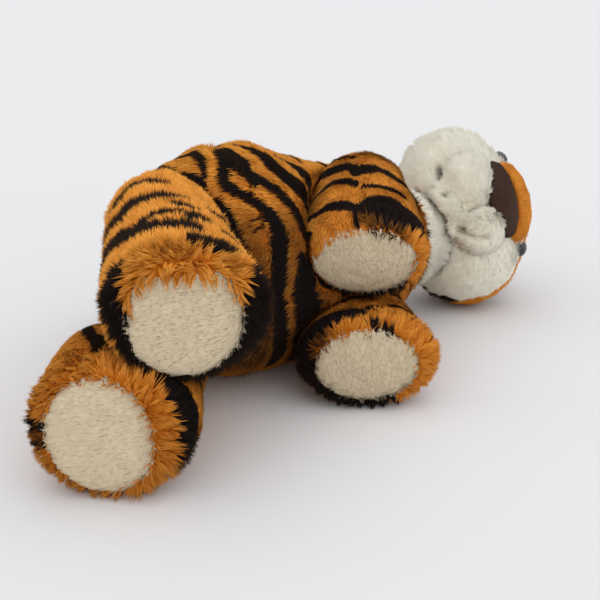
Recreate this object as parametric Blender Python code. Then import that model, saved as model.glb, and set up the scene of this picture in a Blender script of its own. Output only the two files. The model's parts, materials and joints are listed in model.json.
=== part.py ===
"""Plush tiger of the sitting kind, laid down on its left side.

Frame: metres. +X runs from the rump to the crown of the head, -Y is the belly
side, where the legs and the face point, and +Z is up, towards the tiger's own
right side. The origin is on the floor, in the flat spot on which the body lies.
"""
import math

import bmesh
import bpy
from mathutils import Matrix, Vector

MM = 0.001

# Cloth, gaps and facets
SKIN = 3.0 * MM
SEAM_GAP = 0.4 * MM
LAYER_GAP = 0.4 * MM
LIMB_CLEARANCE = 0.7 * MM
OVERRUN = 12.0 * MM
BODY_SIDES = 24
LIMB_SIDES = 16
HEAD_SIDES = 20
PUFF_SIDES = 12

# Body
BODY_LENGTH = 224.0 * MM
BODY_DEPTH = 138.0 * MM
BODY_HEIGHT = 143.0 * MM
RUMP_END = -94.0 * MM
FLAT_DEPTH = 0.5 * MM
BODY_SEAM = 20.0 * MM
RUMP_SEAM = -30.0 * MM
THROAT_SEAM = 122.0 * MM
NECK_RADIUS = 30.0 * MM
NECK_X = 138.0 * MM
NECK_Y = 26.0 * MM
NECK_Z = 58.0 * MM
NECK_PIVOT = Vector((NECK_X, NECK_Y, NECK_Z))
NECK_REACH = 32.0 * MM
HEAD_NOD = (-15.0, 15.0)

# Station along the body, half depth, half height and height of the centre line
BODY_SECTION_SHARES = (
    (0.000, 0.000, 0.000, 0.484),
    (0.020, 0.180, 0.195, 0.488),
    (0.075, 0.325, 0.350, 0.492),
    (0.160, 0.430, 0.452, 0.496),
    (0.260, 0.486, 0.500, 0.500),
    (0.370, 0.500, 0.500, 0.500),
    (0.490, 0.492, 0.462, 0.462),
    (0.620, 0.468, 0.430, 0.430),
    (0.730, 0.425, 0.402, 0.414),
    (0.820, 0.365, 0.362, 0.418),
    (0.900, 0.292, 0.300, 0.428),
)

# Legs: half sizes of the cross-sections, and lengths from the pivot to the sole
HIND_LENGTH = 120.0 * MM
HIND_ROOT = 30.0 * MM
HIND_WIDTH = 33.5 * MM
HIND_HEIGHT = 33.5 * MM
HIND_PAD_WIDTH = 27.5 * MM
HIND_PAD_HEIGHT = 30.0 * MM
FORE_LENGTH = 70.0 * MM
FORE_ROOT = 29.0 * MM
FORE_WIDTH = 35.5 * MM
FORE_HEIGHT = 27.0 * MM
FORE_PAD_WIDTH = 30.0 * MM
FORE_PAD_HEIGHT = 21.5 * MM
SOLE_ROUND = 11.0 * MM
SOLE_CROWN = 2.5 * MM
LIMB_SWELL_SHARE = 0.03

# Pivot as shares of body length, depth and height, from the middle of the floor spot
HIP_SHARES = {
    "hind_left": (-0.366, -0.188, 0.240),
    "hind_right": (-0.350, -0.165, 0.740),
    "fore_left": (0.210, -0.300, 0.210),
    "fore_right": (0.250, -0.185, 0.740),
}
# Turn of the leg from -Y towards -X, drop of its sole, and the joint's range
LEG_TURN = {"hind_left": 37.8, "hind_right": 17.5, "fore_left": 30.0, "fore_right": 31.0}
LEG_DROP = {"hind_left": 0.0, "hind_right": 7.0, "fore_left": 2.0, "fore_right": 19.0}
LEG_RANGE = {
    "hind_left": (-15.0, 0.0),
    "hind_right": (0.0, 35.0),
    "fore_left": (-12.0, 12.0),
    "fore_right": (0.0, 35.0),
}

# Head, in its own frame: +X crown, -Y face, +Z the tiger's right
HEAD_X = 182.5 * MM
HEAD_Y = 31.0 * MM
HEAD_Z = 63.5 * MM
HEAD_CENTRE = Vector((HEAD_X, HEAD_Y, HEAD_Z))
HEAD_HALF_LENGTH = 49.0 * MM
HEAD_HALF_DEPTH = 48.5 * MM
HEAD_HALF_WIDTH = 65.5 * MM
HEAD_HALF = Vector((HEAD_HALF_LENGTH, HEAD_HALF_DEPTH, HEAD_HALF_WIDTH))
HEAD_TURN = -7.0
HEAD_ROLL = -28.5
FACE_AXIS_SHARE = Vector((-0.57, -0.82, 0.0))
FACE_OFFSET = 4.0 * MM

# Face pieces: centres as shares of the head's half sizes, half sizes as named
MUZZLE_SHARE = (-0.22, -0.90, 0.25)
MUZZLE_HALF = Vector((20.0 * MM, 15.0 * MM, 20.0 * MM))
CHIN_SHARE = (-0.62, -0.76, 0.0)
CHIN_HALF = Vector((14.0 * MM, 12.0 * MM, 22.0 * MM))
NOSE_SHARE = (0.15, -1.01, 0.0)
NOSE_HALF = Vector((12.0 * MM, 9.0 * MM, 29.0 * MM))
BRIDGE_SHARE = (0.40, -0.85, 0.0)
BRIDGE_HALF = Vector((16.0 * MM, 12.0 * MM, 29.0 * MM))
EYE_SHARE = (0.70, -0.80, 0.66)
EYE_RADIUS = 6.0 * MM
EYE_BULGE = 4.0 * MM
SHANK_RADIUS = 1.8 * MM
WASHER_RADIUS = 6.5 * MM
WASHER_DEPTH = 1.6 * MM
WASHER_SINK = 2.4 * MM
SHANK_FIT = 0.3 * MM

# Ears
EAR_SHARE = (0.70, 0.50, 0.51)
EAR_WIDTH = 34.0 * MM
EAR_HEIGHT = 22.0 * MM
EAR_BACK = 3.0 * MM
EAR_LINING = 2.4 * MM
EAR_RIM = 4.0 * MM
EAR_SINK = 1.2 * MM
EAR_RANGE = (-15.0, 15.0)

# Tail
TAIL_RADIUS = 11.0 * MM
TAIL_TIP_RADIUS = 8.5 * MM
TAIL_LENGTH = 150.0 * MM
TAIL_PIVOT_SHARES = (-0.300, 0.435, 0.360)
TAIL_TURN = -8.0
TAIL_BEND = 70.0
TAIL_LAND_SHARE = 0.55
TAIL_STEPS = 10
TAIL_RANGE = (-10.0, 10.0)


def clear_scene():
    for obj in list(bpy.data.objects):
        bpy.data.objects.remove(obj, do_unlink=True)


def material(name, colour, roughness):
    made = bpy.data.materials.new(name)
    made.use_nodes = True
    shader = made.node_tree.nodes["Principled BSDF"]
    shader.inputs["Base Color"].default_value = (*colour, 1.0)
    shader.inputs["Roughness"].default_value = roughness
    made.diffuse_color = (*colour, 1.0)
    return made


def empty(name, location, rotation=None, parent=None):
    made = bpy.data.objects.new(name, None)
    bpy.context.collection.objects.link(made)
    made.parent = parent
    made.matrix_basis = Matrix.Translation(location) @ (rotation or Matrix.Identity(4))
    return made


def add_object(name, mesh, parent=None):
    made = bpy.data.objects.new(name, mesh)
    bpy.context.collection.objects.link(made)
    made.parent = parent
    return made


def to_mesh(name, work):
    mesh = bpy.data.meshes.new(name)
    bmesh.ops.recalc_face_normals(work, faces=work.faces)
    work.to_mesh(mesh)
    work.free()
    return mesh


def ring(centre, across, up, half_across, half_up, sides):
    """Points of an ellipse, half a step off the axes, so no seam cuts a corner."""
    points = []
    for index in range(sides):
        angle = math.tau * (index + 0.5) / sides
        points.append(centre + across * (half_across * math.cos(angle)) + up * (half_up * math.sin(angle)))
    return points


def loft(rings, start=None, end=None):
    """Closed skin through the rings; each end is a point, or a flat face."""
    work = bmesh.new()
    rows = [[work.verts.new(point) for point in points] for points in rings]
    for low, high in zip(rows, rows[1:]):
        for index in range(len(low)):
            after = (index + 1) % len(low)
            work.faces.new((low[index], low[after], high[after], high[index]))
    for row, tip in ((rows[0], start), (rows[-1], end)):
        if tip is None:
            work.faces.new(row)
            continue
        pole = work.verts.new(tip)
        for index in range(len(row)):
            work.faces.new((row[index], row[(index + 1) % len(row)], pole))
    bmesh.ops.recalc_face_normals(work, faces=work.faces)
    work.normal_update()
    return work


def grown(work, distance):
    """Moves the whole surface out by a distance, or in by a negative one."""
    work.normal_update()
    shifts = [vert.normal * (distance * vert.calc_shell_factor()) for vert in work.verts]
    for vert, shift in zip(work.verts, shifts):
        vert.co += shift
    return work


def cutter(name, work, parent=None):
    made = add_object(name, to_mesh(name, work), parent)
    made.hide_render = True
    made.display_type = "WIRE"
    return made


def boolean(target, tool, operation="DIFFERENCE"):
    step = target.modifiers.new(tool.name, "BOOLEAN")
    step.operation = operation
    step.solver = "EXACT"
    step.object = tool


def solid(name, work, finish, parent=None, cuts=(), keeps=()):
    """A node: its outer form, kept inside some cutters and cut by others."""
    made = add_object(name, to_mesh(name, work), parent)
    made.data.materials.append(finish)
    made.data.shade_smooth()
    for tool in keeps:
        boolean(made, tool, "INTERSECT")
    for tool in cuts:
        boolean(made, tool)
    return made


def half_space(name, point, normal, reach, parent=None):
    """A block whose one face lies on the point, square to the normal it grows along."""
    work = bmesh.new()
    bmesh.ops.create_cube(work, size=2.0 * reach)
    turn = normal.to_track_quat("Z", "Y").to_matrix().to_4x4()
    place = Matrix.Translation(point + normal * reach) @ turn
    bmesh.ops.transform(work, matrix=place, verts=work.verts)
    return cutter(name, work, parent)


def swept(work, pivot, axis, angles):
    """Convex fan of a form turned about an axis through the angles."""
    fan = bmesh.new()
    for angle in angles:
        turn = Matrix.Translation(pivot) @ Matrix.Rotation(math.radians(angle), 4, axis)
        turn = turn @ Matrix.Translation(-pivot)
        for vert in work.verts:
            fan.verts.new(turn @ vert.co)
    work.free()
    hull = bmesh.ops.convex_hull(fan, input=fan.verts)
    left_over = hull["geom_interior"] + hull["geom_unused"]
    spare = {item for item in left_over if isinstance(item, bmesh.types.BMVert)}
    bmesh.ops.delete(fan, geom=list(spare), context="VERTS")
    bmesh.ops.recalc_face_normals(fan, faces=fan.faces)
    return fan


def body_form(offset=0.0):
    """Pear from the rump to the neck, sunk by the flat's depth, ended by a ball round the neck's pivot."""
    y_axis, z_axis = Vector((0, 1, 0)), Vector((0, 0, 1))
    rings = []
    for station, depth, height, centre in BODY_SECTION_SHARES[1:]:
        middle = Vector((RUMP_END + station * BODY_LENGTH, 0.0, centre * BODY_HEIGHT - FLAT_DEPTH))
        middle.y = NECK_Y * station**3
        rings.append(ring(middle, y_axis, z_axis, depth * BODY_DEPTH, height * BODY_HEIGHT, BODY_SIDES))
    for angle in (-8.0, 16.0, 40.0, 64.0):
        size = NECK_RADIUS * math.cos(math.radians(angle))
        middle = NECK_PIVOT + Vector((NECK_RADIUS * math.sin(math.radians(angle)), 0.0, 0.0))
        rings.append(ring(middle, y_axis, z_axis, size, size, BODY_SIDES))
    rump = Vector((RUMP_END, 0.0, BODY_SECTION_SHARES[0][3] * BODY_HEIGHT - FLAT_DEPTH))
    work = loft(rings, rump, NECK_PIVOT + Vector((NECK_RADIUS, 0.0, 0.0)))
    return grown(work, offset)


def limb_form(root, width, height, length, offset=0.0):
    """A stuffed leg along -Y from its pivot: a ball root, a swelling shaft, a sole."""
    x_axis, z_axis = Vector((1, 0, 0)), Vector((0, 0, 1))
    rings = []
    for angle in (66.0, 42.0, 20.0):
        size = root * math.cos(math.radians(angle))
        back = Vector((0.0, root * math.sin(math.radians(angle)), 0.0))
        rings.append(ring(back, x_axis, z_axis, size, size, LIMB_SIDES))
    for part in (0.0, 0.3, 0.6, 1.0):
        swell = 1.0 + LIMB_SWELL_SHARE * math.sin(math.pi * part)
        grow = math.sin(0.5 * math.pi * part)
        middle = Vector((0.0, -part * (length - SOLE_ROUND), 0.0))
        across = (root + (width - root) * grow) * swell
        up = (root + (height - root) * grow) * swell
        rings.append(ring(middle, x_axis, z_axis, across, up, LIMB_SIDES))
    for angle in (35.0, 70.0):
        inset = SOLE_ROUND * (1.0 - math.cos(math.radians(angle)))
        middle = Vector((0.0, SOLE_ROUND * (1.0 - math.sin(math.radians(angle))) - length, 0.0))
        rings.append(ring(middle, x_axis, z_axis, width - inset, height - inset, LIMB_SIDES))
    work = loft(rings, Vector((0.0, root, 0.0)), Vector((0.0, -length - SOLE_CROWN, 0.0)))
    return grown(work, offset)


def ellipsoid(centre, half, sides, offset=0.0, pole=Vector((0, 0, 1))):
    """Rounded form with its poles on one of its own axes."""
    rows = sides // 2
    first = Vector((pole.y, pole.z, pole.x))
    second = Vector((pole.z, pole.x, pole.y))
    rings = []
    for index in range(1, rows):
        angle = math.pi * index / rows - 0.5 * math.pi
        middle = pole * math.sin(angle)
        rings.append(ring(middle, first, second, math.cos(angle), math.cos(angle), sides))
    work = loft(rings, -pole, pole)
    for vert in work.verts:
        vert.co = centre + Vector((vert.co.x * half.x, vert.co.y * half.y, vert.co.z * half.z))
    return grown(work, offset)


def cylinder(low, high, radius, sides):
    """Round bar between two points."""
    along = (high - low).normalized()
    turn = along.to_track_quat("Z", "Y").to_matrix()
    across, up = turn.col[0].copy(), turn.col[1].copy()
    rings = [ring(low, across, up, radius, radius, sides), ring(high, across, up, radius, radius, sides)]
    return loft(rings)


def oval_prism(width, height, low, high):
    """Oval bar along -Y, for the sole's edge."""
    x_axis, z_axis = Vector((1, 0, 0)), Vector((0, 0, 1))
    rings = [
        ring(Vector((0.0, -low, 0.0)), x_axis, z_axis, width, height, LIMB_SIDES),
        ring(Vector((0.0, -high, 0.0)), x_axis, z_axis, width, height, LIMB_SIDES),
    ]
    return loft(rings)


def leg_sizes(leg):
    """Root, width, height, length and the pad's half sizes of a leg."""
    if leg.startswith("hind"):
        return HIND_ROOT, HIND_WIDTH, HIND_HEIGHT, HIND_LENGTH, HIND_PAD_WIDTH, HIND_PAD_HEIGHT
    return FORE_ROOT, FORE_WIDTH, FORE_HEIGHT, FORE_LENGTH, FORE_PAD_WIDTH, FORE_PAD_HEIGHT


def body_place(shares):
    return Vector((shares[0] * BODY_LENGTH, shares[1] * BODY_DEPTH, shares[2] * BODY_HEIGHT))


def leg_turn(leg):
    """Turns a leg modelled along -Y to its rest direction."""
    turn = Matrix.Rotation(-math.radians(LEG_TURN[leg]), 4, "Z")
    return turn @ Matrix.Rotation(math.radians(LEG_DROP[leg]), 4, "X")


def leg_axis(leg):
    """Joint axis in the leg's own frame: up for the lower legs, across for the upper."""
    if leg.endswith("left"):
        return leg_turn(leg).to_3x3().transposed() @ Vector((0, 0, 1))
    return Vector((-1, 0, 0))


def make_leg(leg, finishes):
    root, width, height, length, pad_width, pad_height = leg_sizes(leg)
    hip = empty(leg + "_hip", body_place(HIP_SHARES[leg]), leg_turn(leg))
    inner = cutter(leg + "_hollow", limb_form(root, width, height, length, -SKIN), hip)
    reach = length + root
    half_gap = 0.5 * SEAM_GAP
    deep = length - SOLE_ROUND
    pad_hole = cutter(
        leg + "_sole_hole",
        oval_prism(pad_width + SEAM_GAP, pad_height + SEAM_GAP, deep, length + OVERRUN),
        hip,
    )
    pad_edge = cutter(leg + "_sole_edge", oval_prism(pad_width, pad_height, deep, length + OVERRUN), hip)
    for side, name in ((1, "top_panel"), (-1, "under_panel")):
        x_axis = Vector((1, 0, 0))
        edge = x_axis * (side * half_gap)
        away = half_space(leg + "_" + name + "_seam", edge, x_axis * -side, reach, hip)
        form = limb_form(root, width, height, length)
        solid(leg + "_" + name, form, finishes["orange"], hip, cuts=(away, inner, pad_hole))
    form = limb_form(root, width, height, length)
    solid(leg + "_sole", form, finishes["tan"], hip, cuts=(inner,), keeps=(pad_edge,))
    form = limb_form(root, width, height, length, -SKIN - LAYER_GAP)
    solid(leg + "_stuffing", form, finishes["filling"], hip)
    low, high = LEG_RANGE[leg]
    fan = swept(
        limb_form(root, width, height, length, LIMB_CLEARANCE),
        Vector((0, 0, 0)),
        leg_axis(leg),
        (low, 0.5 * (low + high), high),
    )
    return cutter(leg + "_dish", fan, hip)


def tail_path():
    """Centres of the tail: it bends in plan while it comes down to the floor."""
    drop = TAIL_PIVOT_SHARES[2] * BODY_HEIGHT - TAIL_RADIUS
    run = TAIL_LENGTH / TAIL_STEPS
    place = Vector((0.0, 0.0, 0.0))
    path = []
    for index in range(TAIL_STEPS + 1):
        part = min(index / TAIL_STEPS / TAIL_LAND_SHARE, 1.0)
        place.z = -drop * part * part * (3.0 - 2.0 * part)
        path.append(place.copy())
        heading = math.radians(TAIL_BEND) * (index + 0.5) / TAIL_STEPS
        place += Vector((math.sin(heading), math.cos(heading), 0.0)) * run
    return path


def tail_form(offset=0.0):
    """A bent tube that tapers to a round tip, from a ball root at its pivot."""
    path = tail_path()
    rows = []
    for angle in (60.0, 30.0):
        size = TAIL_RADIUS * math.cos(math.radians(angle))
        middle = Vector((0.0, -TAIL_RADIUS * math.sin(math.radians(angle)), 0.0))
        rows.append((middle, Vector((0, 1, 0)), size))
    for index, place in enumerate(path):
        along = path[min(index + 1, TAIL_STEPS)] - path[max(index - 1, 0)]
        part = index / TAIL_STEPS
        rows.append((place, along.normalized(), TAIL_RADIUS + (TAIL_TIP_RADIUS - TAIL_RADIUS) * part))
    end, along = path[-1], (path[-1] - path[-2]).normalized()
    for angle in (35.0, 65.0):
        step = along * (TAIL_TIP_RADIUS * math.sin(math.radians(angle)))
        rows.append((end + step, along, TAIL_TIP_RADIUS * math.cos(math.radians(angle))))
    rings = []
    for middle, direction, size in rows:
        across = direction.cross(Vector((0, 0, 1))).normalized()
        rings.append(ring(middle, across, across.cross(direction), size, size, PUFF_SIDES))
    work = loft(rings, Vector((0.0, -TAIL_RADIUS, 0.0)), end + along * TAIL_TIP_RADIUS)
    return grown(work, offset)


def make_tail(finishes):
    """Plush tube with its filling, on the floor behind the body."""
    turn = Matrix.Rotation(math.radians(TAIL_TURN), 4, "Z")
    root = empty("tail_root", body_place(TAIL_PIVOT_SHARES), turn)
    hollow = cutter("tail_hollow", tail_form(-SKIN), root)
    mouth = half_space("tail_mouth", Vector((0, 0, 0)), Vector((0, -1, 0)), 2.0 * TAIL_RADIUS, root)
    solid("tail_skin", tail_form(), finishes["orange"], root, cuts=(hollow, mouth))
    solid("tail_stuffing", tail_form(-SKIN - LAYER_GAP), finishes["filling"], root)
    low, high = TAIL_RANGE
    start = ellipsoid(Vector((0, 0, 0)), Vector((1, 1, 1)) * (TAIL_RADIUS + LIMB_CLEARANCE), LIMB_SIDES)
    return cutter("tail_dish", start, root)


def make_body(finishes, dishes):
    """Rump cup, back, belly and throat panels, all round one filling."""
    reach = BODY_LENGTH
    half_gap = 0.5 * SEAM_GAP
    x_axis, y_axis, z_axis = Vector((1, 0, 0)), Vector((0, 1, 0)), Vector((0, 0, 1))
    hollow = cutter("body_hollow", body_form(-SKIN))
    floor = half_space("floor_flat", Vector((0, 0, 0)), -z_axis, reach)
    rump_seam = half_space("rump_seam", x_axis * (RUMP_SEAM - half_gap), x_axis, reach)
    barrel_seam = half_space("barrel_seam", x_axis * (RUMP_SEAM + half_gap), -x_axis, reach)
    chest_seam = half_space("chest_seam", x_axis * (THROAT_SEAM - half_gap), x_axis, reach)
    throat_seam = half_space("throat_seam", x_axis * (THROAT_SEAM + half_gap), -x_axis, reach)
    belly_seam = half_space("belly_seam", y_axis * (BODY_SEAM - half_gap), y_axis, reach)
    back_seam = half_space("back_seam", y_axis * (BODY_SEAM + half_gap), -y_axis, reach)
    for name, finish, seams in (
        ("rump_panel", "orange", (rump_seam,)),
        ("belly_panel", "orange", (barrel_seam, chest_seam, belly_seam)),
        ("throat_panel", "white", (throat_seam, belly_seam)),
        ("back_panel", "orange", (barrel_seam, back_seam)),
    ):
        solid(name, body_form(), finishes[finish], cuts=(*seams, hollow, floor, *dishes))
    solid("body_stuffing", body_form(-SKIN - LAYER_GAP), finishes["filling"], cuts=dishes)


def head_place(shares):
    """A point in the head's frame, as shares of its half sizes from its centre."""
    return Vector((shares[0] * HEAD_HALF.x, shares[1] * HEAD_HALF.y, shares[2] * HEAD_HALF.z))


def on_head(shares, lift=0.0):
    """A point on the head's cloth under the shares' direction, and its outward normal."""
    place = Vector(shares).normalized()
    normal = Vector((place.x / HEAD_HALF.x, place.y / HEAD_HALF.y, place.z / HEAD_HALF.z)).normalized()
    return head_place(place) + normal * lift, normal


def mirrored(shares, side):
    return (shares[0], shares[1], shares[2] * side)


def make_eye(name, side, head, finishes):
    """Black dome on a shank, locked from inside by a washer; returns its two pockets."""
    surface, normal = on_head(mirrored(EYE_SHARE, side), LAYER_GAP)
    turn = normal.to_track_quat("Z", "Y").to_matrix().to_4x4()
    spot = empty("eye_" + name + "_spot", surface, turn, head)
    z_axis = Vector((0, 0, 1))
    washer_top = -SKIN - WASHER_SINK
    shank_end = washer_top - WASHER_DEPTH - SHANK_RADIUS
    x_axis, y_axis = Vector((1, 0, 0)), Vector((0, 1, 0))
    rings = []
    for height, radius in ((shank_end, SHANK_RADIUS), (0.0, SHANK_RADIUS), (0.0, EYE_RADIUS)):
        rings.append(ring(z_axis * height, x_axis, y_axis, radius, radius, PUFF_SIDES))
    for angle in (30.0, 60.0):
        size = EYE_RADIUS * math.cos(math.radians(angle))
        rise = EYE_BULGE * math.sin(math.radians(angle))
        rings.append(ring(z_axis * rise, x_axis, y_axis, size, size, PUFF_SIDES))
    solid("eye_" + name, loft(rings, None, z_axis * EYE_BULGE), finishes["black"], spot)
    fit = SHANK_RADIUS + SHANK_FIT
    way = cylinder(z_axis * (shank_end - OVERRUN), z_axis * OVERRUN, fit, PUFF_SIDES)
    bore = cutter("eye_" + name + "_bore", way, spot)
    bar = cylinder(z_axis * (washer_top - WASHER_DEPTH), z_axis * washer_top, WASHER_RADIUS, PUFF_SIDES)
    solid("eye_washer_" + name, bar, finishes["washer"], spot, cuts=(bore,))
    pocket = cylinder(
        z_axis * (shank_end - LAYER_GAP),
        z_axis * OVERRUN,
        WASHER_RADIUS + LAYER_GAP,
        PUFF_SIDES,
    )
    return bore, cutter("eye_" + name + "_pocket", pocket, spot)


def ear_plate(width, height, low, high):
    """Half-oval flap that stands on its base line, between two depths."""
    work = bmesh.new()
    half = 0.5 * width
    outline = [(-half, 0.0)]
    for index in range(1, PUFF_SIDES):
        angle = math.pi * (1.0 - index / PUFF_SIDES)
        outline.append((half * math.cos(angle), height * math.sin(angle)))
    outline.append((half, 0.0))
    face = work.faces.new([work.verts.new((x, low, y)) for x, y in outline])
    made = bmesh.ops.extrude_face_region(work, geom=[face])
    moved = [item for item in made["geom"] if isinstance(item, bmesh.types.BMVert)]
    bmesh.ops.translate(work, vec=(0.0, high - low, 0.0), verts=moved)
    bmesh.ops.recalc_face_normals(work, faces=work.faces)
    return work


def make_ear(name, side, head, finishes):
    """Furred back and thinner lining, hinged in a shallow groove of the crown; returns the groove."""
    surface, normal = on_head(mirrored(EAR_SHARE, side), -EAR_SINK)
    face = Vector((0, -1, 0))
    base = normal.cross(face).normalized()
    front = base.cross(normal).normalized()
    turn = Matrix((base, -front, normal)).transposed().to_4x4()
    hinge = empty("ear_" + name + "_hinge", surface, turn, head)
    middle = 0.5 * (EAR_LINING - EAR_BACK)
    back = ear_plate(EAR_WIDTH, EAR_HEIGHT, middle + 0.5 * SEAM_GAP, middle + EAR_BACK)
    solid("ear_" + name + "_back", back, finishes["orange"], hinge)
    rim = 2.0 * EAR_RIM
    lining = ear_plate(EAR_WIDTH - rim, EAR_HEIGHT - EAR_RIM, middle - EAR_LINING, middle - 0.5 * SEAM_GAP)
    solid("ear_" + name + "_lining", lining, finishes["white"], hinge)
    edge = LAYER_GAP
    width = EAR_WIDTH + 2.0 * edge
    whole = ear_plate(width, EAR_HEIGHT, middle - EAR_LINING - edge, middle + EAR_BACK + edge)
    bmesh.ops.translate(whole, vec=(0.0, 0.0, -edge), verts=whole.verts)
    low, high = EAR_RANGE
    fan = swept(whole, Vector((0, 0, 0)), "X", (low, 0.5 * (low + high), high))
    return cutter("ear_" + name + "_groove", fan, hinge)


def neck_fan(head):
    """What the neck sweeps, seen from the head, grown by the running gap."""
    neck = body_form(LIMB_CLEARANCE)
    front = [vert for vert in neck.verts if vert.co.x < NECK_PIVOT.x - NECK_REACH]
    bmesh.ops.delete(neck, geom=front, context="VERTS")
    low, high = HEAD_NOD
    fan = swept(neck, NECK_PIVOT, "Z", (-low, 0.5 * -(low + high), -high))
    bmesh.ops.transform(fan, matrix=head.matrix_world.inverted(), verts=fan.verts)
    return cutter("neck_dish", fan, head)


def make_head(finishes):
    """Two sewn panels round a filling, with the face pieces sewn on."""
    roll = Matrix.Rotation(math.radians(HEAD_ROLL), 4, "X")
    turn = Matrix.Rotation(math.radians(HEAD_TURN), 4, "Z") @ roll
    head = empty("head_centre", HEAD_CENTRE, turn)
    bpy.context.view_layer.update()
    centre = Vector((0, 0, 0))
    neck = neck_fan(head)
    hollow = cutter("head_hollow", ellipsoid(centre, HEAD_HALF, HEAD_SIDES, -SKIN), head)
    reach = 2.0 * HEAD_HALF.z
    half_gap = 0.5 * SEAM_GAP
    axis = FACE_AXIS_SHARE.normalized()
    behind = half_space("face_seam", axis * (FACE_OFFSET + half_gap), -axis, reach, head)
    before = half_space("crown_seam", axis * (FACE_OFFSET - half_gap), axis, reach, head)
    bores = []
    pockets = []
    grooves = []
    for name, side in (("right", 1), ("left", -1)):
        bore, pocket = make_eye(name, side, head, finishes)
        bores.append(bore)
        pockets.append(pocket)
        grooves.append(make_ear(name, side, head, finishes))
    form = ellipsoid(centre, HEAD_HALF, HEAD_SIDES)
    solid("face_panel", form, finishes["white"], head, cuts=(behind, hollow, neck, *bores))
    form = ellipsoid(centre, HEAD_HALF, HEAD_SIDES)
    solid("crown_panel", form, finishes["orange"], head, cuts=(before, hollow, neck, *bores, *grooves))
    form = ellipsoid(centre, HEAD_HALF, HEAD_SIDES, -SKIN - LAYER_GAP)
    solid("head_stuffing", form, finishes["filling"], head, cuts=(neck, *pockets))
    make_face(head, neck, finishes)


def make_face(head, neck, finishes):
    """Nose, bridge, muzzle puffs and chin, each cut by the larger piece that it is sewn to."""
    z_axis = Vector((0, 0, 1))
    seat = cutter("face_seat", ellipsoid(Vector((0, 0, 0)), HEAD_HALF, HEAD_SIDES, LAYER_GAP), head)
    reach = HEAD_HALF.z
    middle = head_place(NOSE_SHARE)
    grown_nose = cutter("nose_seat", ellipsoid(middle, NOSE_HALF, PUFF_SIDES, LAYER_GAP), head)
    solid("nose", ellipsoid(middle, NOSE_HALF, PUFF_SIDES), finishes["nose"], head, cuts=(seat,))
    bridge = ellipsoid(head_place(BRIDGE_SHARE), BRIDGE_HALF, PUFF_SIDES)
    solid("nose_bridge", bridge, finishes["orange"], head, cuts=(seat, grown_nose))
    puff_seats = []
    for name, side in (("right", 1), ("left", -1)):
        place = head_place(mirrored(MUZZLE_SHARE, side))
        edge = z_axis * (0.5 * SEAM_GAP * side)
        across = half_space("muzzle_" + name + "_seam", edge, z_axis * -side, reach, head)
        form = ellipsoid(place, MUZZLE_HALF, PUFF_SIDES)
        solid("muzzle_" + name, form, finishes["white"], head, cuts=(seat, across, grown_nose))
        form = ellipsoid(place, MUZZLE_HALF, PUFF_SIDES, LAYER_GAP)
        puff_seats.append(cutter("muzzle_" + name + "_seat", form, head))
    form = ellipsoid(head_place(CHIN_SHARE), CHIN_HALF, PUFF_SIDES)
    solid("chin", form, finishes["white"], head, cuts=(seat, neck, *puff_seats))


def make_finishes():
    return {
        "orange": material("orange_plush", (0.62, 0.26, 0.05), 0.9),
        "tan": material("tan_sole_plush", (0.60, 0.51, 0.40), 0.95),
        "white": material("white_plush", (0.85, 0.82, 0.74), 0.95),
        "nose": material("plum_nose_plush", (0.09, 0.045, 0.05), 0.85),
        "black": material("black_eye", (0.01, 0.01, 0.01), 0.15),
        "washer": material("white_washer", (0.8, 0.8, 0.78), 0.5),
        "filling": material("white_filling", (0.9, 0.9, 0.88), 1.0),
    }


def main():
    clear_scene()
    finishes = make_finishes()
    dishes = [make_leg(leg, finishes) for leg in HIP_SHARES]
    dishes.append(make_tail(finishes))
    make_body(finishes, dishes)
    make_head(finishes)


main()
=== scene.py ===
import json
import math
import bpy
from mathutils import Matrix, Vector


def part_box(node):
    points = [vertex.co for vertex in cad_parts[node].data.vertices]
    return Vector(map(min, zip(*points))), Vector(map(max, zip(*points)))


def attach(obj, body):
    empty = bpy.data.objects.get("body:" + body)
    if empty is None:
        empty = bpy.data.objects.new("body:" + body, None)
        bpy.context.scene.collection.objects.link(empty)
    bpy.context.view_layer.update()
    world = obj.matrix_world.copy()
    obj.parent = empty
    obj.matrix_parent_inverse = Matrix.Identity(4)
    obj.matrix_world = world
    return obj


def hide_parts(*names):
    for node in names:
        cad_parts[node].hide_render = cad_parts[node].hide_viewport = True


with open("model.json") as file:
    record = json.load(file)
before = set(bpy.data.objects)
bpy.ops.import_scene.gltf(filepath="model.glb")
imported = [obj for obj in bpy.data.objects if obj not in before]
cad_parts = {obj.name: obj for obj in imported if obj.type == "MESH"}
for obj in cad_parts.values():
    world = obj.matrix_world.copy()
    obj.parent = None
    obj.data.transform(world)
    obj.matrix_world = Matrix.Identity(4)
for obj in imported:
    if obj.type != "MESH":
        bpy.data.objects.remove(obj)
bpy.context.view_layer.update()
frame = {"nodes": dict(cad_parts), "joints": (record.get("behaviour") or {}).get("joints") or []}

from types import SimpleNamespace

import bmesh
import bpy
import numpy as np
from mathutils import Matrix, Vector, noise
from mathutils.bvhtree import BVHTree


# Camera
# It stands low on the rump side and looks along the belly at the soles and the face. Its place
# and its lens were fitted to the outlines of the soles, the body and the head.
TARGET = Vector((0.026, 0.0, 0.035))
DISTANCE = 0.648
AZIMUTH = math.radians(-30.1)
ELEVATION = math.radians(19.8)
LENS = 58.3


def placed(name, data):
    """An object with this data, linked to the scene."""
    made = bpy.data.objects.new(name, data)
    bpy.context.scene.collection.objects.link(made)
    return made


back = Vector((math.sin(AZIMUTH), -math.cos(AZIMUTH), math.tan(ELEVATION))).normalized()
camera_data = bpy.data.cameras.new("camera")
camera_data.lens = LENS
camera = placed("camera", camera_data)
camera.location = TARGET + back * DISTANCE
camera.rotation_mode = "QUATERNION"
camera.rotation_quaternion = (-back).to_track_quat("-Z", "Y")
bpy.context.scene.camera = camera


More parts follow.
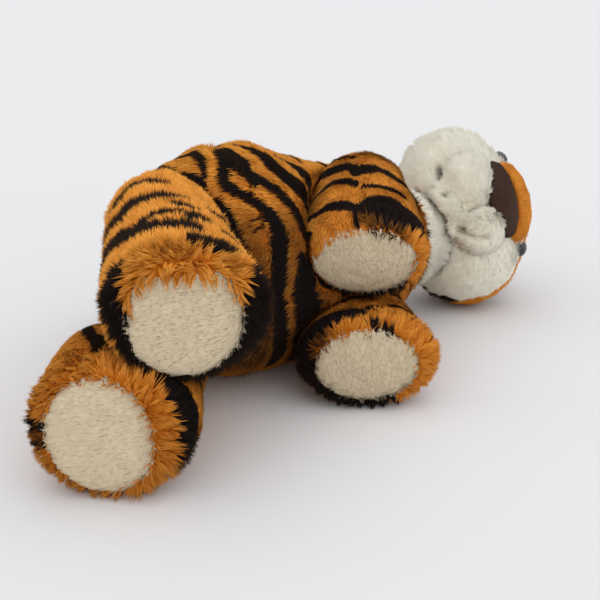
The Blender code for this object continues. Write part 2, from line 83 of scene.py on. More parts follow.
# Table top and studio light
# A plain pale sweep of paper, lit by a very wide soft lamp overhead and by the pale room.
FLOOR_REACH = 12.0
PAPER = (0.785, 0.785, 0.795, 1.0)
ROOM = (0.97, 0.98, 1.0, 1.0)
ROOM_LEVEL = 0.32
ROOM_SEEN = 0.72
KEY_LEVEL = 2.5
KEY_SPREAD = math.radians(140.0)
KEY_FROM = Vector((-0.05, -0.38, 0.92))
SEEN_RAYS = ("Is Camera Ray", "Is Glossy Ray", "Is Transmission Ray")


class Wire:
    """A socket of a node tree; sums and products on it add Math nodes."""

    def __init__(self, tree, socket):
        self.tree = tree
        self.socket = socket

    def math(self, operation, *others):
        node = self.tree.nodes.new("ShaderNodeMath")
        node.operation = operation
        for port, value in zip(node.inputs, (self, *others)):
            connect(self.tree, port, value)
        return Wire(self.tree, node.outputs[0])

    def __add__(self, other):
        return self.math("ADD", other)

    def __sub__(self, other):
        return self.math("SUBTRACT", other)

    def __mul__(self, other):
        return self.math("MULTIPLY", other)


def connect(tree, port, value):
    """Feeds a node's input with a wire or with a plain value."""
    if isinstance(value, Wire):
        tree.links.new(value.socket, port)
    else:
        port.default_value = value


class Maker:
    """Adds nodes to one tree: their type, their settings, then their sockets."""

    def __init__(self, tree):
        self.tree = tree

    def node(self, kind, settings, sockets):
        made = self.tree.nodes.new(kind)
        for name, value in settings.items():
            if name == "stops":
                set_stops(made.color_ramp, value)
            else:
                setattr(made, name, value)
        for name, value in sockets.items():
            connect(self.tree, made.inputs[name], value)
        return made

    def wire(self, kind, settings, sockets, output=0):
        return Wire(self.tree, self.node(kind, settings, sockets).outputs[output])


def set_stops(ramp, stops):
    """Gives a colour ramp its stops, from (place, colour) pairs."""
    while len(ramp.elements) < len(stops):
        ramp.elements.new(1.0)
    for element, (place, colour) in zip(ramp.elements, stops):
        element.position = place
        element.color = colour


def new_material(name):
    """An empty material and the maker of its nodes."""
    made = bpy.data.materials.new(name)
    made.use_nodes = True
    made.node_tree.nodes.clear()
    return made, Maker(made.node_tree)


def finish_material(maker, shader):
    """Joins the shader to the material's output."""
    output = maker.tree.nodes.new("ShaderNodeOutputMaterial")
    maker.tree.links.new(shader.socket, output.inputs["Surface"])


paper, maker = new_material("table_paper")
shader = maker.wire("ShaderNodeBsdfPrincipled", {}, {"Base Color": PAPER, "Roughness": 0.9})
finish_material(maker, shader)

floor_mesh = bpy.data.meshes.new("table_top")
corners = [(x * FLOOR_REACH, y * FLOOR_REACH, 0.0) for x, y in ((-1, -1), (1, -1), (1, 1), (-1, 1))]
floor_mesh.from_pydata(corners, [], [(0, 1, 2, 3)])
floor_mesh.materials.append(paper)
table_top = placed("table_top", floor_mesh)

world = bpy.data.worlds.new("room")
world.use_nodes = True
maker = Maker(world.node_tree)
paths = [maker.wire("ShaderNodeLightPath", {}, {}, output) for output in SEEN_RAYS]
seen = paths[0].math("MAXIMUM", paths[1]).math("MAXIMUM", paths[2])
background = world.node_tree.nodes["Background"]
background.inputs["Color"].default_value = ROOM
connect(world.node_tree, background.inputs["Strength"], seen * (ROOM_SEEN - ROOM_LEVEL) + ROOM_LEVEL)
bpy.context.scene.world = world

key_data = bpy.data.lights.new("key", "SUN")
key_data.energy = KEY_LEVEL
key_data.angle = KEY_SPREAD
key = placed("key", key_data)
key.rotation_mode = "QUATERNION"
key.rotation_quaternion = KEY_FROM.to_track_quat("Z", "Y")
bpy.context.scene.view_settings.view_transform = "Standard"


# Trunk
# A rump cup with the haunches, a back, a belly and a white throat panel, cut from long-pile plush
# and sewn round one filling. The pile lies back, towards the rump.
VOXEL = 0.0022
SMOOTH_STEPS = 6
LEAN_SHIFT = 0.003
CLOTH = 0.0012
PILE_LENGTH = 0.006
PILE_WIDTH = 0.0009
FREE_REACH = 0.018
BARE_UNDER = 0.0024
FLOOR_GAP = 0.0002
LUMP_SIZE = 0.014
LUMP_HEIGHT = 0.0012
SKIN_NODES = [name for name in frame["nodes"] if not name.endswith("stuffing") and "washer" not in name]


def unit(vectors):
    """The vectors at length one."""
    return vectors / np.maximum(np.linalg.norm(vectors, axis=-1, keepdims=True), 1e-9)


def read(items, key, width=1, kind=float):
    """One number or vector from each point, face or corner of a mesh."""
    values = np.empty(len(items) * width, kind)
    items.foreach_get(key, values)
    return values if width == 1 else values.reshape(-1, width)


def sewn_form(nodes, voxel=VOXEL, steps=SMOOTH_STEPS):
    """Outer surface of a stuffed body: its solids taken as one, skinned with quads and smoothed."""
    work = bmesh.new()
    for node in nodes:
        work.from_mesh(frame["nodes"][node].data)
    bmesh.ops.remove_doubles(work, verts=work.verts, dist=1e-6)
    mesh = bpy.data.meshes.new("solids")
    work.to_mesh(mesh)
    work.free()
    holder = placed("solids", mesh)
    skin = holder.modifiers.new("skin", "REMESH")
    skin.mode = "VOXEL"
    skin.voxel_size = voxel
    evaluated = holder.evaluated_get(bpy.context.evaluated_depsgraph_get())
    work = bmesh.new()
    work.from_mesh(evaluated.to_mesh())
    bpy.data.objects.remove(holder)
    keep_largest(work)
    for step in range(steps):
        bmesh.ops.smooth_vert(
            work, verts=work.verts, factor=0.5, use_axis_x=True, use_axis_y=True, use_axis_z=True
        )
    skinned = bpy.data.meshes.new("skinned")
    work.to_mesh(skinned)
    work.free()
    form = SimpleNamespace(
        points=read(skinned.vertices, "co", 3),
        faces=read(skinned.polygons, "vertices", 4, int),
        normals=read(skinned.vertices, "normal", 3),
    )
    bpy.data.meshes.remove(skinned)
    bpy.data.meshes.remove(mesh)
    return form


def keep_largest(work):
    """Deletes all but the island with the most points, such as gaps shut in between two solids."""
    left = set(work.verts)
    islands = []
    while left:
        stack = [left.pop()]
        island = set(stack)
        while stack:
            for edge in stack.pop().link_edges:
                for vert in edge.verts:
                    if vert in left:
                        left.remove(vert)
                        island.add(vert)
                        stack.append(vert)
        islands.append(island)
    islands.sort(key=len)
    for island in islands[:-1]:
        bmesh.ops.delete(work, geom=list(island), context="VERTS")


def tree_of(nodes):
    """A search tree of some solids' surfaces."""
    work = bmesh.new()
    for node in nodes:
        work.from_mesh(frame["nodes"][node].data)
    made = BVHTree.FromBMesh(work)
    work.free()
    return made


def owners_of(form, nodes):
    """For each face of a form, the index of the solid that it belongs to."""
    centres = form.points[form.faces].mean(1)
    trees = [tree_of([node]) for node in nodes]
    gaps = np.array([[tree.find_nearest(Vector(centre))[3] for tree in trees] for centre in centres])
    return gaps.argmin(1)


def free_way(form, own):
    """How far each point's pile can stand out before it meets another piece."""
    others = tree_of([name for name in SKIN_NODES if name not in own])
    way = np.full(len(form.points), 1.0)
    for index, (point, normal) in enumerate(zip(form.points, form.normals)):
        hit = others.ray_cast(Vector(point), Vector(normal), FREE_REACH)
        if hit[0] is not None:
            way[index] = hit[3]
    return way


def lumpy(form, height=LUMP_HEIGHT, size=LUMP_SIZE):
    """Lets the form bulge and sink a little, as hand-filled cloth does; the floor stays clear."""
    swell = np.array([noise.noise(Vector(point / size)) for point in form.points])
    form.points = form.points + form.normals * (swell * height)[:, None]
    form.points[:, 2] = np.maximum(form.points[:, 2], FLOOR_GAP)


def cloth_object(name, form, faces, fields, thickness=CLOTH):
    """A closed piece of cloth with attributes: faces of the form, an inner side and a rim."""
    used, inverse = np.unique(faces, return_inverse=True)
    outer = inverse.reshape(faces.shape)
    points = form.points[used]
    inner_points = points - form.normals[used] * thickness
    count = len(used)
    edges = np.concatenate([outer[:, [corner, (corner + 1) % 4]] for corner in range(4)])
    keys = edges.min(1) * count + edges.max(1)
    _, first, times = np.unique(keys, return_index=True, return_counts=True)
    rim_edges = edges[first[times == 1]]
    rim = np.stack([rim_edges[:, 1], rim_edges[:, 0], rim_edges[:, 0] + count, rim_edges[:, 1] + count], 1)
    quads = np.concatenate([outer, outer[:, ::-1] + count, rim])
    mesh = bpy.data.meshes.new(name)
    mesh.from_pydata(np.concatenate([points, inner_points]).tolist(), [], quads.tolist())
    mesh.shade_smooth()
    side = mesh.attributes.new("outer", "BOOLEAN", "FACE")
    side.data.foreach_set("value", np.arange(len(quads)) < len(outer))
    for field, values in fields.items():
        values = np.concatenate([values[used], values[used]])
        if values.ndim == 1:
            mesh.attributes.new(field, "FLOAT", "POINT").data.foreach_set("value", values)
        else:
            mesh.attributes.new(field, "FLOAT_VECTOR", "POINT").data.foreach_set("vector", values.ravel())
    return placed(name, mesh)


LOCK_FOOT = 0.4


def lock_mesh():
    """One lock of fibres: a slim pointed spike with three sides and a closed root."""
    mesh = bpy.data.meshes.new("lock")
    ring = [(0.5 * math.cos(angle), 0.5 * math.sin(angle), 0.0) for angle in (0.5, 2.6, 4.7)]
    mesh.from_pydata([*ring, (0.0, 0.0, 1.0)], [], [(0, 2, 1), (0, 1, 3), (1, 2, 3), (2, 0, 3)])
    mesh.attributes.new("tip", "FLOAT", "POINT").data.foreach_set("value", [LOCK_FOOT] * 3 + [1.0])
    return placed("lock", mesh)


lock = lock_mesh()

PILE_INPUTS = (
    ("Lock", "NodeSocketObject", None),
    ("Locks per area", "NodeSocketFloat", 1.0e6),
    ("Length", "NodeSocketFloat", PILE_LENGTH),
    ("Thickness", "NodeSocketFloat", PILE_WIDTH),
    ("Rise", "NodeSocketFloat", 0.3),
    ("Swirl", "NodeSocketFloat", 0.35),
    ("Swirl size", "NodeSocketFloat", 0.03),
    ("Frizz", "NodeSocketFloat", 0.12),
    ("Clump size", "NodeSocketFloat", 0.005),
    ("Clump pull", "NodeSocketFloat", 0.35),
    ("Floor", "NodeSocketFloat", FLOOR_GAP),
    ("Seed", "NodeSocketInt", 1),
    ("Finish", "NodeSocketMaterial", None),
)


def pile_tree():
    """Plants locks on the outer side of a piece of cloth, combed, swirled and drawn into clumps."""
    tree = bpy.data.node_groups.new("pile", "GeometryNodeTree")
    tree.interface.new_socket("Cloth", in_out="INPUT", socket_type="NodeSocketGeometry")
    for name, kind, value in PILE_INPUTS:
        socket = tree.interface.new_socket(name, in_out="INPUT", socket_type=kind)
        if value is not None:
            socket.default_value = value
    tree.interface.new_socket("Plush", in_out="OUTPUT", socket_type="NodeSocketGeometry")
    maker = Maker(tree)
    source = tree.nodes.new("NodeGroupInput")
    given = {socket.name: Wire(tree, socket) for socket in source.outputs if socket.name}

    def field(name, kind="FLOAT"):
        return maker.wire("GeometryNodeInputNamedAttribute", {"data_type": kind}, {"Name": name})

    def vector(operation, first, second):
        scaled = "Scale" if operation == "SCALE" else 1
        output = 1 if operation == "DOT_PRODUCT" else 0
        sockets = {0: first, scaled: second}
        return maker.wire("ShaderNodeVectorMath", {"operation": operation}, sockets, output)

    def random(seed, low=0.0, high=1.0):
        sockets = {2: low, 3: high, "Seed": given["Seed"] + seed}
        return maker.wire("FunctionNodeRandomValue", {"data_type": "FLOAT"}, sockets, 1)

    planted = maker.node(
        "GeometryNodeDistributePointsOnFaces",
        {},
        {
            "Mesh": given["Cloth"],
            "Selection": field("outer", "BOOLEAN"),
            "Density": field("crowd") * given["Locks per area"],
            "Seed": given["Seed"],
        },
    )
    points = Wire(tree, planted.outputs["Points"])
    normal = Wire(tree, planted.outputs["Normal"])
    place = maker.wire("GeometryNodeInputPosition", {}, {})
    clump_scale = given["Clump size"].math("POWER", -1.0)
    clump = maker.node("ShaderNodeTexVoronoi", {}, {"Vector": place, "Scale": clump_scale})
    pull = vector("SUBTRACT", Wire(tree, clump.outputs["Position"]), place)
    pull = vector("SUBTRACT", pull, vector("SCALE", normal, vector("DOT_PRODUCT", pull, normal)))
    pull = vector("SCALE", pull, field("gather") * given["Clump pull"] * given["Length"].math("POWER", -1.0))
    swirl_scale = given["Swirl size"].math("POWER", -1.0)
    noise_sockets = {"Vector": place, "Scale": swirl_scale, "Detail": 1.0}
    swirl = maker.wire("ShaderNodeTexNoise", {}, noise_sockets, 1)
    swirl = vector("SUBTRACT", swirl, (0.5, 0.5, 0.5))
    swirl = vector("SCALE", swirl, given["Swirl"] * 2.0)
    frizz_sockets = {0: (-1.0, -1.0, -1.0), 1: (1.0, 1.0, 1.0), "Seed": given["Seed"] + 11}
    frizz = maker.wire("FunctionNodeRandomValue", {"data_type": "FLOAT_VECTOR"}, frizz_sockets, 0)
    frizz = vector("SCALE", frizz, given["Frizz"])
    comb = field("comb", "FLOAT_VECTOR")
    lean = vector("ADD", vector("ADD", comb, swirl), vector("ADD", pull, frizz))
    lean = vector("SUBTRACT", lean, vector("SCALE", normal, vector("DOT_PRODUCT", lean, normal)))
    heading = vector("ADD", lean, vector("SCALE", normal, given["Rise"] + field("lift")))
    turn_sockets = {"Primary Axis": heading, "Secondary Axis": lean}
    turn_settings = {"primary_axis": "Z", "secondary_axis": "X"}
    turn = maker.wire("FunctionNodeAxesToRotation", turn_settings, turn_sockets)
    clump_share = maker.wire("FunctionNodeSeparateColor", {}, {"Color": Wire(tree, clump.outputs["Color"])})
    # The pale field raises the tint as painted light and lowers it as painted shade; the clump and random
    # shares are the pile's own uneven tone.
    tint = clump_share * 0.35 + random(3) * 0.35 + field("pale") * 0.3
    length = given["Length"] * field("reach") * (random(5, 0.7, 1.1) + clump_share * 0.25 - 0.12)
    width = given["Thickness"] * random(7, 0.75, 1.25)
    size = maker.wire("ShaderNodeCombineXYZ", {}, {"X": width, "Y": width, "Z": length})
    edge = field("black") + (random(9) - 0.5) * 0.35
    black = maker.wire("ShaderNodeMapRange", {}, {"Value": edge, "From Min": 0.4, "From Max": 0.6})
    # Locks darken towards black by this field: the smoky patches on the legs and an even darkening of the
    # nose bridge, and painted shade on the belly between the legs and in the creases of the face.
    black = black.math("MAXIMUM", field("smoke") * random(13, 0.75, 1.25))
    kept = (("tint", "FLOAT", tint), ("black", "FLOAT", black), ("nap", "FLOAT_VECTOR", normal))
    for name, kind, value in kept:
        stored_sockets = {"Geometry": points, "Name": name, "Value": value}
        points = maker.wire("GeometryNodeStoreNamedAttribute", {"data_type": kind}, stored_sockets)
    shape = maker.node("GeometryNodeObjectInfo", {}, {"Object": given["Lock"]})
    instance_sockets = {
        "Points": points,
        "Instance": Wire(tree, shape.outputs["Geometry"]),
        "Rotation": turn,
        "Scale": size,
    }
    locks = maker.wire("GeometryNodeInstanceOnPoints", {}, instance_sockets)
    locks = maker.wire("GeometryNodeRealizeInstances", {}, {"Geometry": locks})
    parts = maker.node("ShaderNodeSeparateXYZ", {}, {"Vector": place})
    high = Wire(tree, parts.outputs["Z"]).math("MAXIMUM", given["Floor"])
    pressed_sockets = {"X": Wire(tree, parts.outputs["X"]), "Y": Wire(tree, parts.outputs["Y"]), "Z": high}
    pressed = maker.wire("ShaderNodeCombineXYZ", {}, pressed_sockets)
    locks = maker.wire("GeometryNodeSetPosition", {}, {"Geometry": locks, "Position": pressed})
    joined = maker.node("GeometryNodeJoinGeometry", {}, {})
    tree.links.new(locks.socket, joined.inputs[0])
    tree.links.new(given["Cloth"].socket, joined.inputs[0])
    dressed_sockets = {"Geometry": Wire(tree, joined.outputs[0]), "Material": given["Finish"]}
    dressed = maker.wire("GeometryNodeSetMaterial", {}, dressed_sockets)
    output = tree.nodes.new("NodeGroupOutput")
    tree.links.new(dressed.socket, output.inputs[0])
    return tree


pile = pile_tree()
SOFTNESS = 0.9
BLACK_BANDS = 8
MAP_EDGE = 0.006
# The cloth between the locks takes a colour near the dark root: painted shade under the pile.
CLOTH_SHADE = 0.42


def colour_map(mesh):
    """A map on which all locks of one colour share a place: blackness and tint across, tip up."""
    loops = read(mesh.loops, "vertex_index", kind=int)
    starts = read(mesh.polygons, "loop_start", kind=int)
    sizes = read(mesh.polygons, "loop_total", kind=int)
    corner = np.arange(len(loops)) - np.repeat(starts, sizes)
    black, tint, tip = (read(mesh.attributes[name].data, "value") for name in ("black", "tint", "tip"))
    across = (np.round(black * (BLACK_BANDS - 1)) + 0.15 + 0.7 * tint) / BLACK_BANDS
    up = 0.05 + 0.9 * tip
    places = np.stack([across[loops], up[loops]], 1)
    places += MAP_EDGE * np.array([(-1, -1), (1, -1), (1, 1), (-1, 1)])[corner]
    mesh.uv_layers.new(name="OFBake").data.foreach_set("uv", places.ravel())


def with_pile(cloth, material, nodes, body, slot, fill=0.7, **sizes):
    """Grows the pile on a piece of cloth, joins the plush piece to its body and hides the solids it
    replaces.
    """
    step = cloth.modifiers.new("pile", "NODES")
    step.node_group = pile
    values = {"Lock": lock, "Finish": material, **sizes}
    for item in pile.interface.items_tree:
        if item.name in values:
            step[item.identifier] = values[item.name]
    evaluated = cloth.evaluated_get(bpy.context.evaluated_depsgraph_get())
    mesh = bpy.data.meshes.new_from_object(evaluated)
    mesh.name = cloth.name
    nap = read(mesh.attributes["nap"].data, "vector", 3)
    soft = unit(nap * SOFTNESS + read(mesh.vertices, "normal", 3) * (1.0 - SOFTNESS))
    mesh.shade_smooth()
    colour_map(mesh)
    mesh.normals_split_custom_set_from_vertices(soft.tolist())
    mesh.attributes.remove(mesh.attributes["nap"])
    bare = cloth.data
    cloth.modifiers.clear()
    cloth.data = mesh
    bpy.data.meshes.remove(bare)
    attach(cloth, body)
    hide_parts(*nodes)


BLACK_ROOT = (0.004, 0.0025, 0.002, 1.0)
BLACK_TIP = (0.013, 0.009, 0.008, 1.0)


def plush_material(name, root, middle, tip, dull, bright, sheen):
    """Pile with a dark root and a pale tip, each lock between the dull and the bright shade."""
    made, maker = new_material(name)

    def field(attribute):
        return maker.wire("ShaderNodeAttribute", {"attribute_name": attribute}, {}, 2)

    def mix(factor, first, second, blend="MIX"):
        settings = {"data_type": "RGBA", "blend_type": blend}
        return maker.wire("ShaderNodeMix", settings, {0: factor, 6: first, 7: second}, 2)

    def ramp(*stops):
        return maker.wire("ShaderNodeValToRGB", {"stops": stops}, {"Fac": field("tip")})

    # The dark root of each lock is painted shade deep in the pile.
    colour = ramp((0.25, root), (0.45, middle), (0.9, tip))
    # Each lock's tint mixes it between the dull and the bright shade: random tone, and painted light and
    # shade where the pale field moves it.
    colour = mix(field("tint"), mix(1.0, colour, dull, "MULTIPLY"), mix(1.0, colour, bright, "MULTIPLY"))
    colour = mix(field("black"), colour, ramp((0.3, BLACK_ROOT), (0.9, BLACK_TIP)))
    sockets = {"Base Color": colour, "Roughness": 0.9, "Specular IOR Level": 0.1}
    sockets.update({"Sheen Weight": sheen, "Sheen Roughness": 0.45, "Sheen Tint": tip})
    finish_material(maker, maker.wire("ShaderNodeBsdfPrincipled", {}, sockets))
    return made


ORANGE_ROOT = (0.22, 0.042, 0.003, 1.0)
ORANGE_MIDDLE = (0.60, 0.175, 0.011, 1.0)
ORANGE_TIP = (0.82, 0.32, 0.045, 1.0)
ORANGE_DULL = (0.66, 0.48, 0.25, 1.0)
ORANGE_BRIGHT = (1.35, 1.55, 2.0, 1.0)
ORANGE_SHEEN = 0.05
orange_plush = plush_material(
    "orange_plush", ORANGE_ROOT, ORANGE_MIDDLE, ORANGE_TIP, ORANGE_DULL, ORANGE_BRIGHT, ORANGE_SHEEN
)
WHITE_ROOT = (0.80, 0.73, 0.55, 1.0)
WHITE_MIDDLE = (0.92, 0.88, 0.73, 1.0)
WHITE_TIP = (0.96, 0.935, 0.81, 1.0)
WHITE_DULL = (0.91, 0.89, 0.85, 1.0)
WHITE_BRIGHT = (1.06, 1.06, 1.06, 1.0)
WHITE_SHEEN = 0.2
white_plush = plush_material(
    "white_plush", WHITE_ROOT, WHITE_MIDDLE, WHITE_TIP, WHITE_DULL, WHITE_BRIGHT, WHITE_SHEEN
)


def unrolled(points, origin, axis, zero, radius):
    """Places on a round form in metres: along its axis, and round it from the zero direction."""
    axis = np.array(axis, float)
    zero = np.array(zero, float)
    zero = unit(zero - axis * (zero @ axis))
    side = np.cross(axis, zero)
    away = points - np.array(origin, float)
    along = away @ axis
    around = np.arctan2(away @ side, away @ zero)
    return along, around * radius


def stroke_gap(along, around, radius, strokes):
    """Distance of each place from the nearest stroke's edge, below zero inside it."""
    turn = math.tau * radius
    nearest = np.full(len(along), 1.0)
    for stroke in strokes:
        rows = np.array(stroke, float) * (0.001, math.radians(radius), 0.001)
        for low, high in zip(rows, rows[1:]):
            offset = along - low[0]
            round_way = (around - low[1] + 0.5 * turn) % turn - 0.5 * turn
            way = high[:2] - low[:2]
            way[1] = (way[1] + 0.5 * turn) % turn - 0.5 * turn
            part = np.clip((offset * way[0] + round_way * way[1]) / (way @ way), 0.0, 1.0)
            gap = np.hypot(offset - part * way[0], round_way - part * way[1])
            nearest = np.minimum(nearest, gap - (low[2] + (high[2] - low[2]) * part))
    return nearest


def stripes(along, around, radius, strokes, soft=0.003, spread=0.0):
    """How black the cloth is at each place: 1 well inside a stroke, 0 outside, 0.5 on its edge."""
    return np.clip(0.5 - (stroke_gap(along, around, radius, strokes) - spread) / soft, 0.0, 1.0)


def drawn_in(form, gap, depth, width):
    """Draws the form in along a seam, by the distance from it."""
    pressed = np.exp(-((np.maximum(gap, 0.0) / width) ** 2)) * depth
    form.points = form.points - form.normals * pressed[:, None]


def fields_of(form, comb, black=0.0, reach=1.0, lift=0.0, gather=1.0, smoke=0.0, pale=0.5):
    """Attributes that the pile reads at each point of a form."""
    whole = np.ones(len(form.points))
    return {
        "comb": comb,
        "crowd": np.clip((form.way - BARE_UNDER) / BARE_UNDER, 0.0, 1.0),
        "reach": np.minimum(whole * reach, np.maximum(form.way / PILE_LENGTH, 0.25)),
        "lift": whole * lift,
        "gather": whole * gather,
        "nap": form.normals,
        "black": whole * black,
        "smoke": whole * smoke,
        "pale": whole * pale,
        "tip": CLOTH_SHADE * whole,
        "tint": 0.4 * whole,
    }


# Each stroke is a row of places: millimetres along the body, degrees round it, half width.
TRUNK_PANELS = ("rump_panel", "belly_panel", "back_panel", "throat_panel")
TRUNK_RADIUS = 0.068
TRUNK_STRIPES = [
    [(-72, -30, 2.0), (-66, -20, 2.5), (-64, -10, 1.5)],
    [(-61, -20, 1.9), (-64, -4, 2.9), (-66, 10, 3.8), (-61, 17, 5.0), (-57, 24, 4.5)],
    [(-53, -9, 2.5), (-49, -6, 3.6), (-45, -5, 3.6), (-47, 5, 2.8), (-51, 16, 2.2), (-52, 21, 1.0)],
    [(-31, 0, 3.2), (-37, 14, 3.6), (-42, 23, 4.0), (-45, 31, 3.4)],
    [(-31, 2, 4.6), (-31, 10, 5.4), (-30, 17, 6.2), (-30, 26, 5.3), (-30, 33, 3.7)],
    [
        (-45, 31, 3.6), (-41, 36, 3.2), (-36, 40, 3.4), (-31, 45, 4.2), (-27, 50, 4.8), (-24, 56, 5.4),
        (-25, 64, 6.0),
    ],
    [
        (-25, 64, 6.0), (-27, 74, 6.3), (-29, 86, 6.0), (-27, 100, 5.6), (-22, 118, 5.0), (-19, 135, 4.0),
        (-20, 150, 2.0),
    ],
    [
        (-29, 29, 5.0), (-22, 34, 3.2), (-17, 39, 3.2), (-13, 45, 3.0), (-10, 53, 2.8), (-9, 61, 1.8),
        (-8, 68, 0.7),
    ],
    [
        (-20, -2, 1.2), (-15, 8, 2.4), (-12, 18, 4.6), (-10, 25, 5.6), (-3, 32, 7.0), (2, 40, 6.5),
        (4, 50, 4.5), (5, 60, 3.0),
    ],
    [(-2, 12, 2.0), (5, 14, 3.4), (12, 18, 5.0), (12, 29, 4.3), (12, 40, 2.0)],
    [(-53, 36, 3.0), (-52, 44, 4.2), (-50, 51, 4.0), (-47, 58, 2.6), (-44, 66, 1.0)],
    [(-41, 54, 0.9), (-37, 51, 1.1), (-32, 51, 1.0)],
    [(-38, 57, 1.2), (-32, 54, 1.2)],
    [(-52, 118, 9.0), (-46, 97, 8.0), (-42, 80, 3.0)],
    [(-12, 72, 3.0), (-11, 82, 7.0), (-9, 96, 9.0), (-5, 115, 9.0), (-3, 140, 6.0)],
    [(-84, -60, 1.0), (-80, -85, 3.0), (-82, -120, 3.0), (-78, -150, 1.0)],
    [(-64, -34, 1.0), (-60, -60, 3.0), (-64, -85, 4.0), (-58, -115, 3.5), (-62, -150, 2.0)],
    [(-44, -18, 1.0), (-40, -45, 3.0), (-44, -70, 4.0), (-38, -95, 3.0), (-42, -130, 4.0), (-38, -165, 2.0)],
    [
        (-24, -8, 2.0), (-22, -35, 4.0), (-26, -60, 3.0), (-18, -85, 4.5), (-22, -115, 4.0),
        (-16, -150, 3.0), (-20, -175, 1.0),
    ],
    [(-26, -60, 3.0), (-32, -78, 2.0), (-34, -92, 0.8)],
    [
        (-3, 6, 1.5), (0, -15, 3.0), (-4, -40, 4.0), (2, -70, 3.0), (0, -95, 4.5), (6, -125, 3.5),
        (2, -160, 2.0),
    ],
    [
        (20, 10, 1.0), (22, -15, 3.5), (26, -45, 3.0), (20, -75, 4.0), (26, -105, 4.0), (22, -135, 3.0),
        (28, -165, 1.5),
    ],
    [(10, -58, 1.0), (12, -76, 2.0), (10, -92, 0.8)],
    [
        (44, 30, 1.5), (46, 5, 3.0), (42, -25, 4.0), (48, -55, 3.5), (44, -85, 4.5), (50, -115, 3.5),
        (46, -150, 2.0),
    ],
    [(66, 15, 1.0), (70, -15, 3.5), (64, -45, 3.0), (70, -75, 4.0), (66, -105, 4.0), (72, -140, 2.5)],
    [
        (90, 30, 2.0), (92, 0, 3.5), (88, -30, 4.0), (94, -60, 3.0), (90, -90, 4.0), (96, -120, 3.5),
        (92, -155, 2.0),
    ],
    [(112, 20, 1.0), (116, -10, 3.0), (110, -45, 4.0), (116, -80, 3.5), (112, -115, 4.0), (118, -150, 1.5)],
    [(136, 35, 1.5), (134, 5, 3.5), (138, -30, 3.0), (132, -65, 4.0), (138, -100, 3.5), (134, -140, 2.0)],
    [(154, 10, 2.0), (152, -40, 3.0), (156, -90, 3.0), (152, -130, 2.0)],
    [(20, 50, 2.0), (24, 75, 3.5), (20, 100, 4.0), (26, 130, 3.0), (22, 160, 2.0)],
    [(44, 60, 2.0), (46, 90, 4.0), (42, 120, 3.0), (46, 150, 2.0)],
    [(70, 50, 2.0), (66, 80, 3.5), (72, 110, 4.0), (68, 145, 2.0)],
    [(94, 50, 2.0), (98, 85, 4.0), (92, 120, 3.0), (96, 150, 2.0)],
    [(120, 60, 2.0), (116, 95, 3.5), (122, 130, 3.0)],
    [(142, 60, 2.0), (140, 100, 3.0), (144, 130, 2.0)],
]
TRUNK_SEAMS = [
    [(-20, -40, 0.2), (-28, -6, 0.2), (-41, 16, 0.2), (-53, 31, 0.2), (-58, 50, 0.2)],
    [(-90, -90, 0.2), (0, -92, 0.2), (90, -88, 0.2)],
    [(-30, 92, 0.2), (40, 90, 0.2), (110, 92, 0.2)],
]
# Painted shade: strokes that darken the belly between the legs towards black, where shade falls.
BELLY_PAINTED_SHADE = [
    [(-42, 56, 4.0), (-40, 74, 13.0), (-38, 100, 20.0), (-34, 130, 22.0)],
    [(-14, 58, 4.0), (-8, 80, 13.0), (0, 104, 20.0), (4, 134, 20.0)],
]
BELLY_SHADE_LEVEL = 0.9
SEAM_DEPTH = 0.0022
SEAM_WIDTH = 0.005
SMOOTH_GATHER = 0.5
SMOOTH_REACH = 0.85
TRUNK_COMB = (-0.7, 0.0, -0.25)
TRUNK_LOCKS = 1.19e6
# Painted light: the trunk's pile gets paler with height, towards the top, where the light falls.
PAINTED_TOP_LIGHT = 0.8
PAINTED_TOP_LIGHT_FROM = 0.06
PAINTED_TOP_LIGHT_OVER = 0.08
THROAT_COMB = (0.5, -0.2, 0.0)
THROAT_REACH = 0.8
THROAT_PILE = {"Locks per area": 1.8e6, "Length": 0.009, "Rise": 0.65, "Swirl": 0.6, "Seed": 13}
trunk = sewn_form((*TRUNK_PANELS, "body_stuffing"))
trunk.way = free_way(trunk, TRUNK_PANELS)
along, around = unrolled(trunk.points, (0.0, 0.0, TRUNK_RADIUS), (1, 0, 0), (0, 0, 1), TRUNK_RADIUS)
trunk_black = stripes(along - LEAN_SHIFT, around, TRUNK_RADIUS, TRUNK_STRIPES)
seam_gap = stroke_gap(along, around, TRUNK_RADIUS, TRUNK_SEAMS)
trunk_comb = np.tile(TRUNK_COMB, (len(trunk.points), 1))
smoke = BELLY_SHADE_LEVEL * stripes(along, around, TRUNK_RADIUS, BELLY_PAINTED_SHADE, 0.03)
# Paler towards the top of the trunk: painted light.
trunk_painted_light = PAINTED_TOP_LIGHT * np.clip((trunk.points[:, 2] - PAINTED_TOP_LIGHT_FROM) / PAINTED_TOP_LIGHT_OVER, 0.0, 1.0)
trunk_fields = fields_of(trunk, trunk_comb, trunk_black, SMOOTH_REACH, 0.0, SMOOTH_GATHER, smoke, trunk_painted_light)
owners = owners_of(trunk, TRUNK_PANELS)
lumpy(trunk)
drawn_in(trunk, seam_gap, SEAM_DEPTH, SEAM_WIDTH)
skins = {"trunk": trunk}
for index, node in enumerate(TRUNK_PANELS[:3]):
    cloth = cloth_object(node.replace("panel", "plush"), trunk, trunk.faces[owners == index], trunk_fields)
    sizes = {"Locks per area": TRUNK_LOCKS, "Seed": 10 + index}
    with_pile(cloth, orange_plush, (node,), "trunk", "orange_plush", **sizes)
none = np.zeros_like(trunk_black)
trunk_fields.update({"black": none, "smoke": none, "crowd": none + 1.0, "gather": none + 1.0})
trunk_fields["reach"] = np.maximum(trunk_fields["reach"], THROAT_REACH)
trunk_fields["comb"] = np.tile(THROAT_COMB, (len(trunk.points), 1))
cloth = cloth_object("throat_plush", trunk, trunk.faces[owners == 3], trunk_fields)
with_pile(cloth, white_plush, ("throat_panel",), "trunk", "white_plush", **THROAT_PILE)
